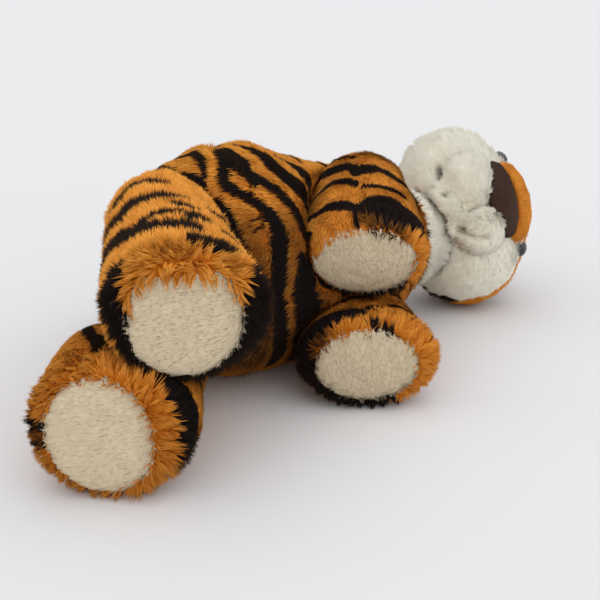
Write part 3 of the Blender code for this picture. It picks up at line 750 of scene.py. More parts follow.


# Legs
# Each is a tube of two striped panels with a round tan sole, sewn at the hip.
# Round the sole the pile is long, drawn into tufts, and stands out from the seam like a ruff.
LEGS = ("hind_left", "hind_right", "fore_left", "fore_right")
LEG_RADIUS = 0.032
LEG_STRIPES = {
    "hind_right": [
        [(4, 30, 1.2), (7, 23, 1.9), (12, 11, 1.9), (17, -2, 1.6)],
        [(22, 82, 1.6), (18, 71, 2.8), (17, 56, 2.8), (13, 46, 2.8), (7, 34, 2.0)],
        [
            (34, 95, 2.5), (36, 77, 3.8), (39, 63, 4.7), (42, 47, 5.3), (38, 37, 5.4), (38, 24, 5.0),
            (40, 11, 4.2),
        ],
        [(40, 11, 4.2), (39, 2, 3.6), (42, -9, 2.6), (42, -17, 1.4)],
        [(52, -7, 1.6), (57, -13, 2.6), (58, -20, 2.2)],
        [(73, 34, 1.8), (69, 24, 2.2), (67, 13, 2.1), (66, 6, 2.0), (67, -6, 1.6)],
        [
            (62, 120, 2.5), (66, 100, 5.0), (66, 88, 7.0), (63, 77, 7.8), (69, 60, 7.8), (73, 45, 6.3),
            (77, 34, 4.8),
        ],
        [
            (77, 34, 4.8), (80, 23, 4.0), (82, 13, 3.5), (82, 6, 3.4), (81, -2, 3.4), (84, -11, 3.4),
            (87, -16, 2.4),
        ],
        [(73, -16, 3.2), (72, -28, 2.2)],
        [(104, -14, 4.2), (103, -25, 5.4), (101, -34, 4.8), (94, -48, 3.2), (92, -60, 2.0)],
        [
            (103, 50, 2.2), (105, 57, 4.2), (107, 65, 5.6), (110, 75, 6.0), (114, 84, 5.5), (117, 96, 4.5),
            (119, 140, 3.0),
        ],
        [(119, 140, 5.0), (118, 165, 3.0)],
        [
            (106, -66, 3.0), (108, -78, 9.0), (108, -97, 13.0), (107, -123, 13.0), (110, -150, 10.0),
            (112, -178, 7.0),
        ],
        [(20, -60, 1.0), (24, -90, 2.5), (20, -130, 3.0), (26, -165, 2.0)],
        [(45, -40, 1.0), (48, -70, 2.5), (44, -100, 3.0), (50, -140, 2.0), (46, -170, 1.0)],
        [(70, -50, 1.0), (74, -85, 2.5), (68, -120, 3.0), (74, -160, 2.0)],
        [(92, -90, 1.5), (90, -120, 3.0), (96, -155, 2.5), (92, -180, 1.5)],
        [(20, 110, 2.5), (26, 140, 2.0), (22, 165, 1.0)],
        [(44, 130, 2.5), (48, 160, 2.0)],
        [(84, 120, 2.0), (88, 150, 2.5), (84, 175, 1.0)],
    ],
    "hind_left": [
        [(70, 80, 1.4), (72, 62, 2.4), (67, 47, 2.8), (60, 38, 3.0), (51, 32, 3.0)],
        [(65, 33, 1.8), (78, 24, 2.2), (89, 14, 2.5), (100, 7, 2.0)],
        [
            (86, 14, 3.0), (86, 6, 5.3), (88, -8, 6.8), (95, -20, 5.8), (100, -38, 6.0), (103, -52, 5.5),
            (104, -66, 5.5),
        ],
        [(104, -66, 5.5), (104, -85, 5.5), (105, -104, 4.5), (107, -118, 2.0)],
        [(80, -44, 1.4), (76, -52, 2.2), (69, -68, 3.2), (60, -88, 4.2), (55, -103, 3.0)],
        [(65, -120, 2.4), (70, -126, 2.4)],
        [(86, -120, 2.4), (95, -126, 2.4)],
        [(111, 87, 2.2), (119, 80, 3.0)],
        [(111, 104, 1.4), (119, 101, 1.6)],
        [(20, 60, 1.0), (24, 30, 2.5), (20, -5, 3.0), (26, -40, 2.0)],
        [(44, 10, 1.0), (46, -20, 2.5), (42, -50, 3.0), (46, -85, 2.0)],
        [(30, 90, 1.0), (34, 120, 3.0), (28, 160, 3.0), (32, -165, 1.0)],
        [(56, 95, 1.0), (60, 125, 3.0), (54, 165, 3.0), (58, -160, 1.0)],
        [(80, 135, 1.0), (84, 160, 3.0), (80, -165, 3.0), (84, -150, 1.0)],
    ],
    "fore_right": [
        [(-12, 55, 1.4), (-10, 40, 2.0), (-9, 28, 2.4), (-7, 11, 2.4)],
        [(-14, 82, 1.5), (-9, 70, 3.0), (2, 48, 4.4), (5, 35, 3.8), (6, 22, 3.8), (8, 11, 3.4)],
        [(26, 72, 1.4), (24, 60, 3.0), (22, 48, 3.8), (21, 36, 3.2), (23, 23, 3.2), (26, 12, 2.8)],
        [(44, 80, 1.4), (45, 69, 2.8), (47, 57, 3.0), (46, 45, 3.6), (48, 31, 3.9), (51, 13, 4.3)],
        [(13, 9, 4.8), (13, -4, 4.8), (10, -18, 3.8), (11, -32, 3.4), (12, -50, 2.6), (14, -72, 1.4)],
        [(31, 0, 1.8), (30, -12, 2.0), (29, -27, 2.9), (30, -39, 2.6), (31, -51, 1.2)],
        [
            (49, 2, 5.0), (50, -8, 8.6), (51, -27, 11.0), (51, -43, 11.0), (49, -61, 9.5), (45, -76, 6.5),
            (43, -95, 3.0),
        ],
        [(57, 13, 1.4), (66, 13, 1.8)],
        [(62, 68, 2.5), (60, 81, 7.0), (58, 94, 10.0), (58, 110, 11.0), (62, 140, 8.0), (65, 175, 6.0)],
        [(66, 175, 5.0), (66, -150, 5.0), (68, -117, 2.6)],
        [(10, 100, 2.0), (14, 130, 3.0), (8, 165, 2.0)],
        [(34, 95, 2.0), (38, 125, 3.0), (32, 160, 3.0), (36, -170, 1.0)],
        [(12, -90, 1.5), (16, -120, 3.0), (10, -155, 2.0)],
        [(30, -80, 1.5), (34, -110, 3.0), (28, -145, 3.0)],
        [(50, -110, 2.0), (48, -140, 3.0), (52, -170, 1.0)],
    ],
    "fore_left": [
        [
            (54, 110, 6.0), (53, 88, 8.0), (53, 63, 8.0), (54, 46, 7.0), (54, 35, 6.0), (54, 25, 5.4),
            (52, 13, 5.0),
        ],
        [(52, 13, 5.0), (50, -1, 4.6), (46, -18, 2.6)],
        [(62, -6, 1.8), (68, -11, 3.0)],
        [(64, -23, 1.8), (70, -41, 3.6)],
        [(40, -28, 1.2), (39, -37, 2.2), (34, -50, 2.6), (34, -66, 2.0), (38, -78, 1.6), (46, -88, 1.0)],
        [
            (58, 76, 4.0), (59, 92, 8.0), (60, 105, 8.0), (62, 125, 6.0), (65, 141, 4.2), (66, 178, 4.0),
            (66, -140, 2.6),
        ],
        [(12, 70, 1.0), (14, 35, 3.0), (10, 0, 3.0), (14, -40, 2.0), (10, -70, 1.0)],
        [(30, 60, 1.0), (32, 30, 2.0), (28, 0, 1.0)],
        [(20, 110, 1.0), (24, 140, 3.0), (20, 175, 3.0), (24, -140, 2.0)],
        [(44, 150, 1.0), (46, -175, 3.0), (42, -140, 3.0), (46, -105, 1.0)],
    ],
}
SMOKE = {
    "fore_right": [[(58, 10, 5.0), (60, -10, 9.0), (62, -30, 9.0), (66, -48, 4.0)]],
    "hind_left": [[(113, 88, 2.0), (116, 96, 2.5), (113, 106, 1.5)], [(86, 12, 4.0), (92, 0, 3.0)]],
    "fore_left": [[(62, 48, 2.0), (63, 62, 4.0), (64, 80, 7.0), (64, 100, 7.0)]],
    "hind_right": [[(112, -70, 3.0), (112, -95, 8.0), (112, -125, 8.0)]],
}
SMOKE_LEVEL = 0.85
LEG_SEAM_DEPTH = 0.0016
LEG_SEAM_WIDTH = 0.0035
LEG_SEAMS = {
    "fore_right": [[(-10, 11, 0.2), (28, 10, 0.2), (64, 11, 0.2)]],
    "fore_left": [[(0, 8, 0.2), (30, 4, 0.2), (64, 8, 0.2)]],
    "hind_right": [[(0, -40, 0.2), (60, -44, 0.2), (112, -46, 0.2)]],
    "hind_left": [[(20, 22, 0.2), (60, 20, 0.2), (112, 18, 0.2)]],
}
# Of the smooth pile: the way it leans along the leg and how far its stripes spread. Of the ruff,
# on the top and the under panel: the way it leans and how much longer it is; then how it stands
# and hangs, and how far it grows over the sole. Last, how pale the leg's pile is: painted light,
# paler on the lit top of the hind right leg, and painted shade, darker on the hind left and fore
# left legs.
RUFFS = {
    "hind_right": SimpleNamespace(
        start=-0.4, spread=0.0015, nap=(0.2, 0.2), reach=(1.1, 1.1), lift=0.55,
        droop=0.5, trim=0.006, pale=1.0,
    ),
    "hind_left": SimpleNamespace(
        start=0.9, spread=0.0006, nap=(-0.6, 0.2), reach=(0.7, 0.2), lift=0.4,
        droop=0.0, trim=0.0, pale=0.2,
    ),
    "fore_right": SimpleNamespace(
        start=0.9, spread=0.0006, nap=(-0.6, 0.9), reach=(0.35, -0.1), lift=0.1,
        droop=0.0, trim=0.0, pale=0.5,
    ),
    "fore_left": SimpleNamespace(
        start=0.9, spread=0.0006, nap=(-0.6, -0.6), reach=(0.3, 0.1), lift=0.2,
        droop=0.0, trim=0.0, pale=0.2,
    ),
}
# Each swell: its place along the leg, how far it goes, its degrees round the leg and their
# spread, and its height.
SWELLS = {
    "hind_right": [(0.098, 0.030, -95.0, 45.0, 0.007), (0.095, 0.030, 85.0, 45.0, 0.003)],
    "hind_left": [
        (0.092, 0.024, -80.0, 48.0, 0.011),
        (0.098, 0.026, 85.0, 55.0, 0.005),
        (0.080, 0.032, 38.0, 42.0, 0.009),
    ],
    "fore_right": [(0.055, 0.022, 95.0, 50.0, 0.004)],
    "fore_left": [(0.052, 0.022, -90.0, 50.0, 0.005), (0.052, 0.022, 90.0, 45.0, 0.004)],
}
SWELL_SHARE = 0.6
SWELL_END = 0.006
RUFF_DEPTH = 0.026
RUFF_GATHER = 1.6
UPPER_BASE = 0.25
UPPER_LEAST = 0.15
LEG_PILE = {"Locks per area": 1.7e6, "Swirl": 0.5, "Swirl size": 0.016}
SOLE_PILE = {
    "Locks per area": 3.0e6,
    "Length": 0.0034,
    "Thickness": 0.0011,
    "Rise": 0.28,
    "Clump size": 0.0032,
    "Clump pull": 0.6,
    "Swirl size": 0.008,
}
SOLE_LUMP_HEIGHT = 0.0007
SOLE_LUMP_SIZE = 0.006
SOLE_WAYS = {"hind_right": 8.0, "hind_left": 0.0, "fore_right": 70.0, "fore_left": 80.0}
SOLE_ROOT = (0.36, 0.26, 0.15, 1.0)
SOLE_MIDDLE = (0.69, 0.575, 0.395, 1.0)
SOLE_TIP = (0.765, 0.655, 0.47, 1.0)
SOLE_DULL = (0.88, 0.86, 0.82, 1.0)
SOLE_BRIGHT = (1.08, 1.08, 1.08, 1.0)
SOLE_SHEEN = 0.05
tan_plush = plush_material(
    "tan_plush", SOLE_ROOT, SOLE_MIDDLE, SOLE_TIP, SOLE_DULL, SOLE_BRIGHT, SOLE_SHEEN
)
joint_places = {joint["child"]: Vector(joint["pos_m"]) for joint in frame["joints"]}


def twin(form):
    """A second form with the same points, to be moved on its own."""
    return SimpleNamespace(points=form.points, faces=form.faces, normals=form.normals)


for number, leg in enumerate(LEGS):
    body = leg + "_leg"
    panels = (leg + "_top_panel", leg + "_under_panel", leg + "_sole")
    form = sewn_form((*panels, leg + "_stuffing"))
    form.way = free_way(form, panels)
    hip = np.array(joint_places[body])
    sole_points = read(frame["nodes"][leg + "_sole"].data.vertices, "co", 3)
    axis = unit(0.5 * (sole_points.min(0) + sole_points.max(0)) - hip)
    up = unit(np.array((0.0, 0.0, 1.0)) - axis * axis[2])
    along, around = unrolled(form.points, hip, axis, up, LEG_RADIUS)
    outward = unit(form.points - hip - np.outer((form.points - hip) @ axis, axis))
    ruff = np.clip((along - along.max() + RUFF_DEPTH) / RUFF_DEPTH, 0.0, 1.0)
    seam_gap = stroke_gap(along, around, LEG_RADIUS, LEG_SEAMS[leg])
    owners = owners_of(form, panels)
    lumpy_form = twin(form)
    lumpy(lumpy_form)
    drawn_in(lumpy_form, seam_gap, LEG_SEAM_DEPTH, LEG_SEAM_WIDTH)
    ruffs = RUFFS[leg]
    heights = form.points[form.faces].mean(1) @ up
    trimmed = (owners == 2) & (heights > heights[owners == 2].max() - ruffs.trim)
    owners[trimmed] = owners_of(form, panels[:2])[trimmed]
    upper = np.clip(UPPER_BASE + np.cos(around / LEG_RADIUS), UPPER_LEAST, 1.0)
    swell = 0.0 * along
    for place, depth, angle, spread, height in SWELLS[leg]:
        turned = (np.degrees(around / LEG_RADIUS) - angle + 180.0) % 360.0 - 180.0
        bulge = height * np.exp(-(((along - place) / depth) ** 2) - (turned / spread) ** 2)
        swell = np.maximum(swell, bulge)
    swell = np.minimum(swell, SWELL_SHARE * form.way)
    swell = swell * np.clip((along.max() - SWELL_END - along) / SWELL_END, 0.0, 1.0)
    lumpy_form.points = lumpy_form.points + outward * swell[:, None]
    lumpy_form.points[:, 2] = np.maximum(lumpy_form.points[:, 2], FLOOR_GAP)
    lumpy_form.way = form.way - swell
    skins[body] = lumpy_form
    for index, node in enumerate(panels[:2]):
        nap_way = ruffs.start + (ruffs.nap[index] - ruffs.start) * np.clip(ruff * 2.0, 0.0, 1.0)
        shifted = along + LEAN_SHIFT * nap_way
        black = stripes(shifted, around, LEG_RADIUS, LEG_STRIPES[leg], spread=ruffs.spread)
        smoke = SMOKE_LEVEL * stripes(shifted, around, LEG_RADIUS, SMOKE[leg], 0.005)
        comb = axis * nap_way[:, None] - np.outer(ruff * ruffs.droop, (0.0, 0.0, 1.0))
        reach = SMOOTH_REACH + ruffs.reach[index] * ruff * (upper if ruffs.droop else 1.0)
        gather = SMOOTH_GATHER + RUFF_GATHER * ruff * (ruffs.reach[index] > 0.0)
        fields = fields_of(lumpy_form, comb, black, reach, ruffs.lift * ruff, gather, smoke, ruffs.pale)
        faces = form.faces[owners == index]
        cloth = cloth_object(node.replace("panel", "plush"), lumpy_form, faces, fields)
        sizes = {**LEG_PILE, "Seed": 20 + 10 * number + index}
        with_pile(cloth, orange_plush, (node,), body, "orange_plush", **sizes)
    turn = math.radians(SOLE_WAYS[leg])
    sole_comb = np.cross(axis, up) * math.cos(turn) + up * math.sin(turn) + 0.0 * form.points
    fields = fields_of(form, sole_comb)
    lumpy_form = twin(form)
    lumpy(lumpy_form, SOLE_LUMP_HEIGHT, SOLE_LUMP_SIZE)
    cloth = cloth_object(leg + "_sole_plush", lumpy_form, form.faces[owners == 2], fields)
    sizes = {**SOLE_PILE, "Seed": 22 + 10 * number}
    with_pile(cloth, tan_plush, (panels[2],), body, "tan_sole_plush", **sizes)


# Head
# A white woolly face panel and a striped orange crown round one filling, with two stuffed cheeks,
# a chin, a velour nose and a nose bridge sewn on. The stitches of the mouth draw the face in.
HEAD_CENTRE = Vector((0.1825, 0.031, 0.0635))
HEAD_FRAME = Matrix.Rotation(math.radians(-7.0), 3, "Z") @ Matrix.Rotation(math.radians(-28.5), 3, "X")
HEAD_RADIUS = 0.049
NOSE_TIP = (0.183, -0.024, 0.087)
CROWN_STRIPES = [
    [(-40, -34, 1.0), (-26, -26, 3.0), (-12, -30, 3.0), (-4, -36, 1.0)],
    [(40, -34, 1.0), (26, -26, 3.0), (12, -30, 3.0), (4, -36, 1.0)],
    [(-48, -8, 2.0), (-30, -2, 4.0), (-14, -6, 4.0), (-2, -14, 1.5)],
    [(48, -8, 2.0), (30, -2, 4.0), (14, -6, 4.0), (2, -14, 1.5)],
    [(0, -44, 1.5), (1, -26, 2.6), (-1, -6, 2.6), (0, 12, 1.5)],
    [(-46, 24, 2.0), (-26, 28, 4.5), (-6, 24, 4.0), (16, 27, 4.5), (36, 24, 4.0), (48, 18, 2.0)],
    [(-42, 52, 2.0), (-20, 56, 4.5), (4, 52, 4.0), (24, 56, 4.5), (44, 50, 2.0)],
    [(-34, 84, 3.0), (-10, 88, 4.5), (14, 84, 4.0), (36, 88, 2.0)],
    [(-52, -30, 3.0), (-56, -6, 4.0), (-58, 20, 4.0), (-54, 60, 3.0)],
    [(52, -30, 3.0), (56, -6, 4.0), (58, 20, 4.0), (54, 60, 3.0)],
    [(-24, 114, 3.0), (0, 118, 4.0), (24, 114, 3.0)],
]
# Each crease: places on the stitches, how deep they are drawn in and how wide the crease is.
FACE_CREASES = [
    ([(0.1547, 0.0206, 0.1066), (0.1526, 0.0177, 0.1029), (0.1505, 0.0134, 0.0996)], 0.0042, 0.0030),
    ([(0.1435, -0.0010, 0.0938), (0.1440, -0.0014, 0.0930)], 0.0035, 0.0030),
    ([(0.1553, -0.0136, 0.0844), (0.1595, -0.0158, 0.0853), (0.1754, -0.0176, 0.0880)], 0.0035, 0.0025),
    ([(0.1553, -0.0136, 0.0844), (0.1550, -0.0132, 0.0842)], 0.0030, 0.0032),
    ([(0.1470, -0.0154, 0.0702), (0.1474, -0.0160, 0.0695)], 0.0042, 0.0032),
    ([(0.1477, -0.0170, 0.0669), (0.1520, -0.0239, 0.0663), (0.1593, -0.0282, 0.0659)], 0.0028, 0.0030),
    ([(0.1609, 0.0319, 0.1157), (0.1600, 0.0310, 0.1150)], 0.0009, 0.0050),
    ([(0.1605, 0.0001, 0.1139), (0.1590, 0.0010, 0.1140)], 0.0009, 0.0050),
    ([(0.1388, -0.0072, 0.0778), (0.1420, -0.0100, 0.0760)], 0.0022, 0.0035),
]
WOOLLY = {
    "Length": 0.0038,
    "Thickness": 0.0010,
    "Rise": 0.25,
    "Swirl": 0.3,
    "Swirl size": 0.012,
    "Clump pull": 0.25,
}
WOOLLY_LOCKS = 2.4e6
NOSE_ROOT = (0.022, 0.011, 0.009, 1.0)
NOSE_MIDDLE = (0.055, 0.030, 0.024, 1.0)
NOSE_END = (0.080, 0.048, 0.038, 1.0)
NOSE_SHEEN = 0.08
nose_plush = plush_material(
    "nose_plush", NOSE_ROOT, NOSE_MIDDLE, NOSE_END, WHITE_DULL, WHITE_BRIGHT, NOSE_SHEEN
)
CREASE_DEEPER = 1.5
CREASE_WIDER = 1.5
CREASE_SHADE = 0.75
DEEPEST = 0.0042


def creased(form, creases):
    """Draws the form in along each crease of stitches; gives how near each point is to one, 0 to 1."""
    depth = np.zeros(len(form.points))
    near = np.zeros(len(form.points))
    for line, drop, width in creases:
        line = [form.points[np.linalg.norm(form.points - place, axis=1).argmin()] for place in line]
        for low, high in zip(line, line[1:]):
            way = high - low
            part = np.clip((form.points - low) @ way / max(way @ way, 1e-9), 0.0, 1.0)
            gap = np.linalg.norm(form.points - low - part[:, None] * way, axis=1)
            depth = np.maximum(depth, CREASE_DEEPER * drop * np.exp(-((gap / width) ** 2)))
            share = min(drop / DEEPEST, 1.0)
            near = np.maximum(near, share * np.exp(-((gap / (CREASE_WIDER * width)) ** 2)))
    form.points = form.points - form.normals * depth[:, None]
    return near


CROWN_EDGE = (-0.47, -0.352, 0.81)
CROWN_EDGE_PLACE = -0.0662
PAINTED_UNDER_SHADE_X = 0.167
PAINTED_UNDER_SHADE_TOP = 0.03
PAINTED_UNDER_SHADE_SOFT = 0.006
CROWN_LIFT = -0.1
CROWN_LOCKS = 1.05e6
CROWN_TRIM = 0.75
CROWN_TRIM_FROM = 0.030
CROWN_TRIM_OVER = 0.008
FACE_COMB = 0.7
FACE_REACH = 0.7
FINE_VOXEL = 0.0018
HEAD_SMOOTH_STEPS = 9
HEAD_LUMP_HEIGHT = 0.0010
CREASE_TRIM = 0.75
HEAD_PANELS = ("crown_panel", "face_panel", "muzzle_right", "muzzle_left", "chin")
EYE_SPREAD = 0.011
EYE_PARTING = 2.0
EYE_FRINGE_LIFT = 0.9
EYE_FRINGE_REACH = 1.2
CHEEK_WAY = (-0.47, -0.81, 0.34)
CHEEK_SOFT = 0.004
FLUFF_FROM = 0.3
FLUFF_OVER = 0.5
FLUFF_LIFT = 0.35
FLUFF_REACH = 0.8
head = sewn_form((*HEAD_PANELS, "head_stuffing"), FINE_VOXEL, HEAD_SMOOTH_STEPS)
local = (head.points - np.array(HEAD_CENTRE)) @ np.array(HEAD_FRAME)
along, around = unrolled(local, (0, 0, 0), (0, 0, 1), (1, 0, 0), HEAD_RADIUS)
head_black = stripes(along, around, HEAD_RADIUS, CROWN_STRIPES)
# Painted shade: low on the head, below a height of 30 mm and towards the trunk, the crown's pile is painted
# black where the head's underside lies in shade.
shaded_underside = (head.points[:, 2] < PAINTED_UNDER_SHADE_TOP) & (head.points[:, 0] < PAINTED_UNDER_SHADE_X)
dark = np.clip((PAINTED_UNDER_SHADE_X - head.points[:, 0]) / PAINTED_UNDER_SHADE_SOFT, 0.0, 1.0)
head_black = np.maximum(head_black, shaded_underside * dark)
head_comb = unit(head.points - NOSE_TIP) * FACE_COMB
head.way = free_way(head, HEAD_PANELS)
head_fields = fields_of(head, head_comb, head_black, SMOOTH_REACH, CROWN_LIFT, SMOOTH_GATHER)
owners = owners_of(head, HEAD_PANELS)
low_side = head.points[head.faces].mean(1) @ np.array(CROWN_EDGE) < CROWN_EDGE_PLACE
owners[(owners == 1) & low_side] = 0
lumpy(head, HEAD_LUMP_HEIGHT)
near_crease = creased(head, FACE_CREASES)
skins["head"] = head
head_reach = head_fields["reach"]
trimmed = np.clip((along - CROWN_TRIM_FROM) / CROWN_TRIM_OVER, 0.0, 1.0)
head_fields["reach"] = head_reach * (1.0 - CROWN_TRIM * trimmed)
cloth = cloth_object("crown_plush", head, head.faces[owners == 0], head_fields)
sizes = {"Locks per area": CROWN_LOCKS, "Seed": 71}
with_pile(cloth, orange_plush, ("crown_panel",), "head", "orange_plush", **sizes)
none = np.zeros_like(head_black)
head_fields.update({"black": none, "gather": none + 1.0, "crowd": none + 1.0})
# Painted shade: the white pile darkens towards black in the creases and pits of the mouth stitches.
head_fields["smoke"] = CREASE_SHADE * np.maximum(2.0 * near_crease - 1.0, 0.0)
eye_fringe = none
upward = np.clip((head.normals[:, 2] - FLUFF_FROM) / FLUFF_OVER, 0.0, 1.0)
fluffed = upward * (1.0 - near_crease**0.25)
for side in ("right", "left"):
    low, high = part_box("eye_" + side)
    spoke = head.points - 0.5 * (np.array(low) + np.array(high))
    beneath = np.clip(spoke @ np.array(CHEEK_WAY) / CHEEK_SOFT, 0.0, 1.0)
    near_eye = np.exp(-((np.linalg.norm(spoke, axis=1) / EYE_SPREAD) ** 2))
    eye_fringe = np.maximum(eye_fringe, beneath * near_eye)
    head_fields["comb"] = head_fields["comb"] + unit(spoke) * (EYE_PARTING * near_eye)[:, None]
    fluffed = fluffed * (1.0 - near_eye**0.4)
head_fields["lift"] = EYE_FRINGE_LIFT * eye_fringe + FLUFF_LIFT * fluffed
wool = np.maximum(head_reach / SMOOTH_REACH, FACE_REACH) * (1.0 - CREASE_TRIM * near_crease)
head_fields["reach"] = wool * (1.0 + EYE_FRINGE_REACH * eye_fringe + FLUFF_REACH * fluffed)
for number, node in enumerate(HEAD_PANELS[1:]):
    faces = head.faces[owners == number + 1]
    cloth = cloth_object(node.replace("_panel", "") + "_plush", head, faces, head_fields)
    sizes = {**WOOLLY, "Locks per area": WOOLLY_LOCKS, "Seed": 72 + number}
    with_pile(cloth, white_plush, (node,), "head", "white_plush", **sizes)
BRIDGE_END = 0.066
BRIDGE_END_SOFT = 0.006
BRIDGE_END_REACH = 2.0
BRIDGE_SMOKE = 0.15
NOSE_VOXEL = 0.0014
NOSE_SMOOTH_STEPS = 4
NOSE_COMB = 0.6
# Each piece: its plush, slot, pile length, locks per square metre and how lumpy it is.
FACE_PIECES = (
    ("nose", nose_plush, "plum_nose_plush", 0.0014, 4.0e6, 0.3),
    ("nose_bridge", orange_plush, "orange_plush", 0.0024, 3.4e6, 0.4),
)
for number, (node, material, slot, length, count, bumps) in enumerate(FACE_PIECES):
    form = sewn_form((node,), NOSE_VOXEL, NOSE_SMOOTH_STEPS)
    form.way = free_way(form, (node,))
    fields = fields_of(form, unit(form.points - NOSE_TIP) * NOSE_COMB, gather=bumps)
    if node == "nose_bridge":
        end = np.clip((BRIDGE_END - form.points[:, 2]) / BRIDGE_END_SOFT, 0.0, 1.0)
        fields["smoke"] = BRIDGE_SMOKE + 0.0 * end
        fields["reach"] = fields["reach"] + BRIDGE_END_REACH * end
    lumpy(form, HEAD_LUMP_HEIGHT * bumps, 0.008)
    cloth = cloth_object(node + "_plush", form, form.faces, fields)
    sizes = {**WOOLLY, "Locks per area": count, "Length": length, "Seed": 80 + number}
    sizes["Thickness"] = PILE_WIDTH
    with_pile(cloth, material, (node,), "head", slot, **sizes)


# Ears
# Half-oval flaps sewn to the crown: a furred back that is black outside an orange root, and a thin
# white lining that faces forward.
EAR_PIECES = (("back", orange_plush, "orange_plush"), ("lining", white_plush, "white_plush"))
EAR_PILE = {"Locks per area": 2.0e6, "Length": 0.004, "Thickness": PILE_WIDTH}
EAR_VOXEL = 0.0009
EAR_CLOTH = 0.0006
EAR_COMB = 0.6
EAR_BLACK_FROM = 0.013
EAR_BLACK_SOFT = 0.003
for number, side in enumerate(("right", "left")):
    for part, material, slot in EAR_PIECES:
        node = "ear_" + side + "_" + part
        form = sewn_form((node,), EAR_VOXEL, 2)
        root = np.array(joint_places["ear_" + side])
        away = np.linalg.norm(form.points - root, axis=1)
        comb = unit(form.points - root) * EAR_COMB
        black = np.clip((away - EAR_BLACK_FROM) / EAR_BLACK_SOFT, 0.0, 1.0) * (part == "back")
        form.way = free_way(form, (node,))
        fields = fields_of(form, comb, black)
        cloth = cloth_object(node + "_plush", form, form.faces, fields, EAR_CLOTH)
        sizes = {**EAR_PILE, "Seed": 90 + 2 * number}
        with_pile(cloth, material, (node,), "ear_" + side, slot, **sizes)


# Tail
# A bent tube of plush with black rings and a black tip, sewn round its own filling. Its root is
# sewn into the rump.
TAIL_BEND_RADIUS = 0.1228
TAIL_TURN = math.radians(-8.0)
TAIL_RADIUS = 0.011
TAIL_RINGS = [
    [(place, -170, 3.4), (place + 2, -90, 4.4), (place - 2, 0, 3.6), (place + 1, 90, 4.4), (place, 170, 3.4)]
    for place in (18, 41, 64, 87, 110, 133)
]
TAIL_TIP = 0.144
TAIL_TIP_SOFT = 0.002
TAIL_SLICE = 0.004
TAIL_COMB = 0.8
TAIL_LUMP_HEIGHT = 0.0008
form = sewn_form(("tail_skin", "tail_stuffing"), FINE_VOXEL)
tail_root = np.array(joint_places["tail"])
bend = tail_root + TAIL_BEND_RADIUS * np.array((math.cos(TAIL_TURN), math.sin(TAIL_TURN), 0.0))
spoke = form.points - bend
angle = np.arctan2(spoke[:, 1], -spoke[:, 0]) + TAIL_TURN
along = angle * TAIL_BEND_RADIUS
slices = np.round(along / TAIL_SLICE).astype(int)
middles = {index: form.points[slices == index, 2].mean() for index in np.unique(slices)}
drop = form.points[:, 2] - np.array([middles[index] for index in slices])
around = np.arctan2(np.hypot(spoke[:, 0], spoke[:, 1]) - TAIL_BEND_RADIUS, drop) * TAIL_RADIUS
tip = np.clip((along - TAIL_TIP) / TAIL_TIP_SOFT, 0.0, 1.0)
black = np.maximum(stripes(along, around, TAIL_RADIUS, TAIL_RINGS), tip)
tail_comb = np.stack([np.sin(angle - TAIL_TURN), np.cos(angle - TAIL_TURN), 0.0 * angle], 1) * TAIL_COMB
form.way = free_way(form, ("tail_skin",))
fields = fields_of(form, tail_comb, black)
lumpy(form, TAIL_LUMP_HEIGHT)
skins["tail"] = form
cloth = cloth_object("tail_plush", form, form.faces, fields)
sizes = {"Locks per area": 1.4e6, "Seed": 95}
with_pile(cloth, orange_plush, ("tail_skin",), "tail", "orange_plush", **sizes)


# Fillings
# Loose white fibre, pressed together inside the trunk, the head, the tail and each leg. Each lump
# stays a little under its cloth, so that it doesn't show when a joint bends.
fibre, maker = new_material("white_fibre")
lumps = maker.wire("ShaderNodeTexNoise", {}, {"Scale": 160.0, "Detail": 4.0})
FIBRE_STOPS = [(0.3, (0.7, 0.7, 0.68, 1.0)), (0.7, (0.9, 0.9, 0.88, 1.0))]
colour = maker.wire("ShaderNodeValToRGB", {"stops": FIBRE_STOPS}, {"Fac": lumps})
finish_material(maker, maker.wire("ShaderNodeBsdfPrincipled", {}, {"Base Color": colour, "Roughness": 1.0}))
FILLED = {"body_stuffing": "trunk", "head_stuffing": "head", "tail_stuffing": "tail"}
FILLED.update({leg + "_stuffing": leg + "_leg" for leg in LEGS})
FILLING_DEPTH = 0.0026
FILLING_VOXEL = 0.003
FILLING_SHRINK = 0.002
FILLING_LUMP_SIZE = 0.009


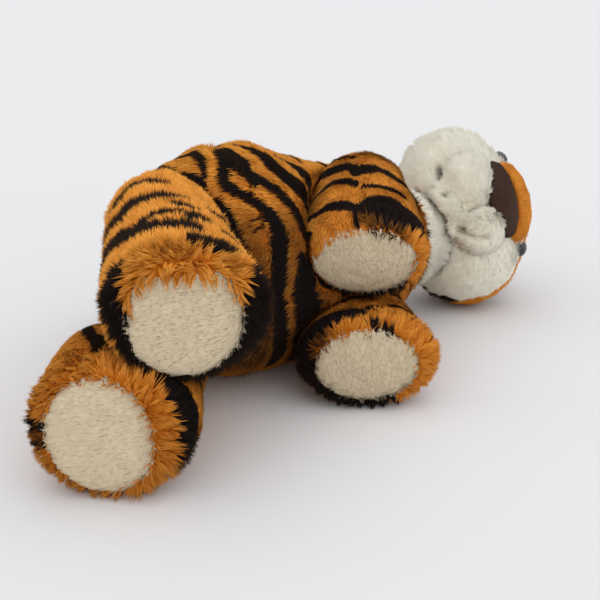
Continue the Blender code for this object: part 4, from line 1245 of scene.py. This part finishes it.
def kept_inside(points, skin):
    """Moves points that come too near a body's cloth, or lie outside it, back under it."""
    tree = BVHTree.FromPolygons(skin.points.tolist(), skin.faces.tolist())
    kept = []
    for point in points:
        near, normal = tree.find_nearest(Vector(point))[:2]
        depth = (near - Vector(point)) @ normal
        kept.append(point if depth > FILLING_DEPTH else np.array(near - normal * FILLING_DEPTH))
    return kept


for node, body in FILLED.items():
    form = sewn_form((node,), FILLING_VOXEL, 3)
    lumpy(form, size=FILLING_LUMP_SIZE)
    mesh = bpy.data.meshes.new(node.replace("stuffing", "filling"))
    inner = kept_inside(form.points - form.normals * FILLING_SHRINK, skins[body])
    mesh.from_pydata(inner, [], form.faces.tolist())
    mesh.shade_smooth()
    mesh.materials.append(fibre)
    filling = placed(mesh.name, mesh)
    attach(filling, body)
    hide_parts(node)


# Eyes
# Glossy black moulded eyes, each a dome with a shank that goes through the cloth of the face. A
# white plastic washer, pushed on the shank from inside, holds it.
EYE_PAINTED_SHEEN_STOPS = [(0.2, (0.006, 0.005, 0.005, 1.0)), (1.0, (0.03, 0.02, 0.015, 1.0))]
WASHER_STOPS = [(0.3, (0.72, 0.72, 0.69, 1.0)), (0.7, (0.84, 0.84, 0.82, 1.0))]
eye_black, maker = new_material("eye_black")
cloudy = maker.wire("ShaderNodeTexNoise", {}, {"Scale": 900.0, "Detail": 3.0})
# Painted sheen: the eye's black turns a little paler and browner where it is seen edge-on.
rim = maker.wire("ShaderNodeLayerWeight", {}, {"Blend": 0.3}, 1)
colour = maker.wire("ShaderNodeValToRGB", {"stops": EYE_PAINTED_SHEEN_STOPS}, {"Fac": rim})
sockets = {"Base Color": colour, "Roughness": cloudy * 0.12 + 0.06, "Coat Weight": 0.2}
finish_material(maker, maker.wire("ShaderNodeBsdfPrincipled", {}, sockets))
washer_white, maker = new_material("washer_white")
grain = maker.wire("ShaderNodeTexNoise", {}, {"Scale": 700.0, "Detail": 3.0})
colour = maker.wire("ShaderNodeValToRGB", {"stops": WASHER_STOPS}, {"Fac": grain})
sockets = {"Base Color": colour, "Roughness": grain * 0.2 + 0.4}
finish_material(maker, maker.wire("ShaderNodeBsdfPrincipled", {}, sockets))
for side in ("right", "left"):
    frame["nodes"]["eye_" + side].material_slots[0].material = eye_black
    frame["nodes"]["eye_washer_" + side].material_slots[0].material = washer_white

bpy.data.objects.remove(lock)
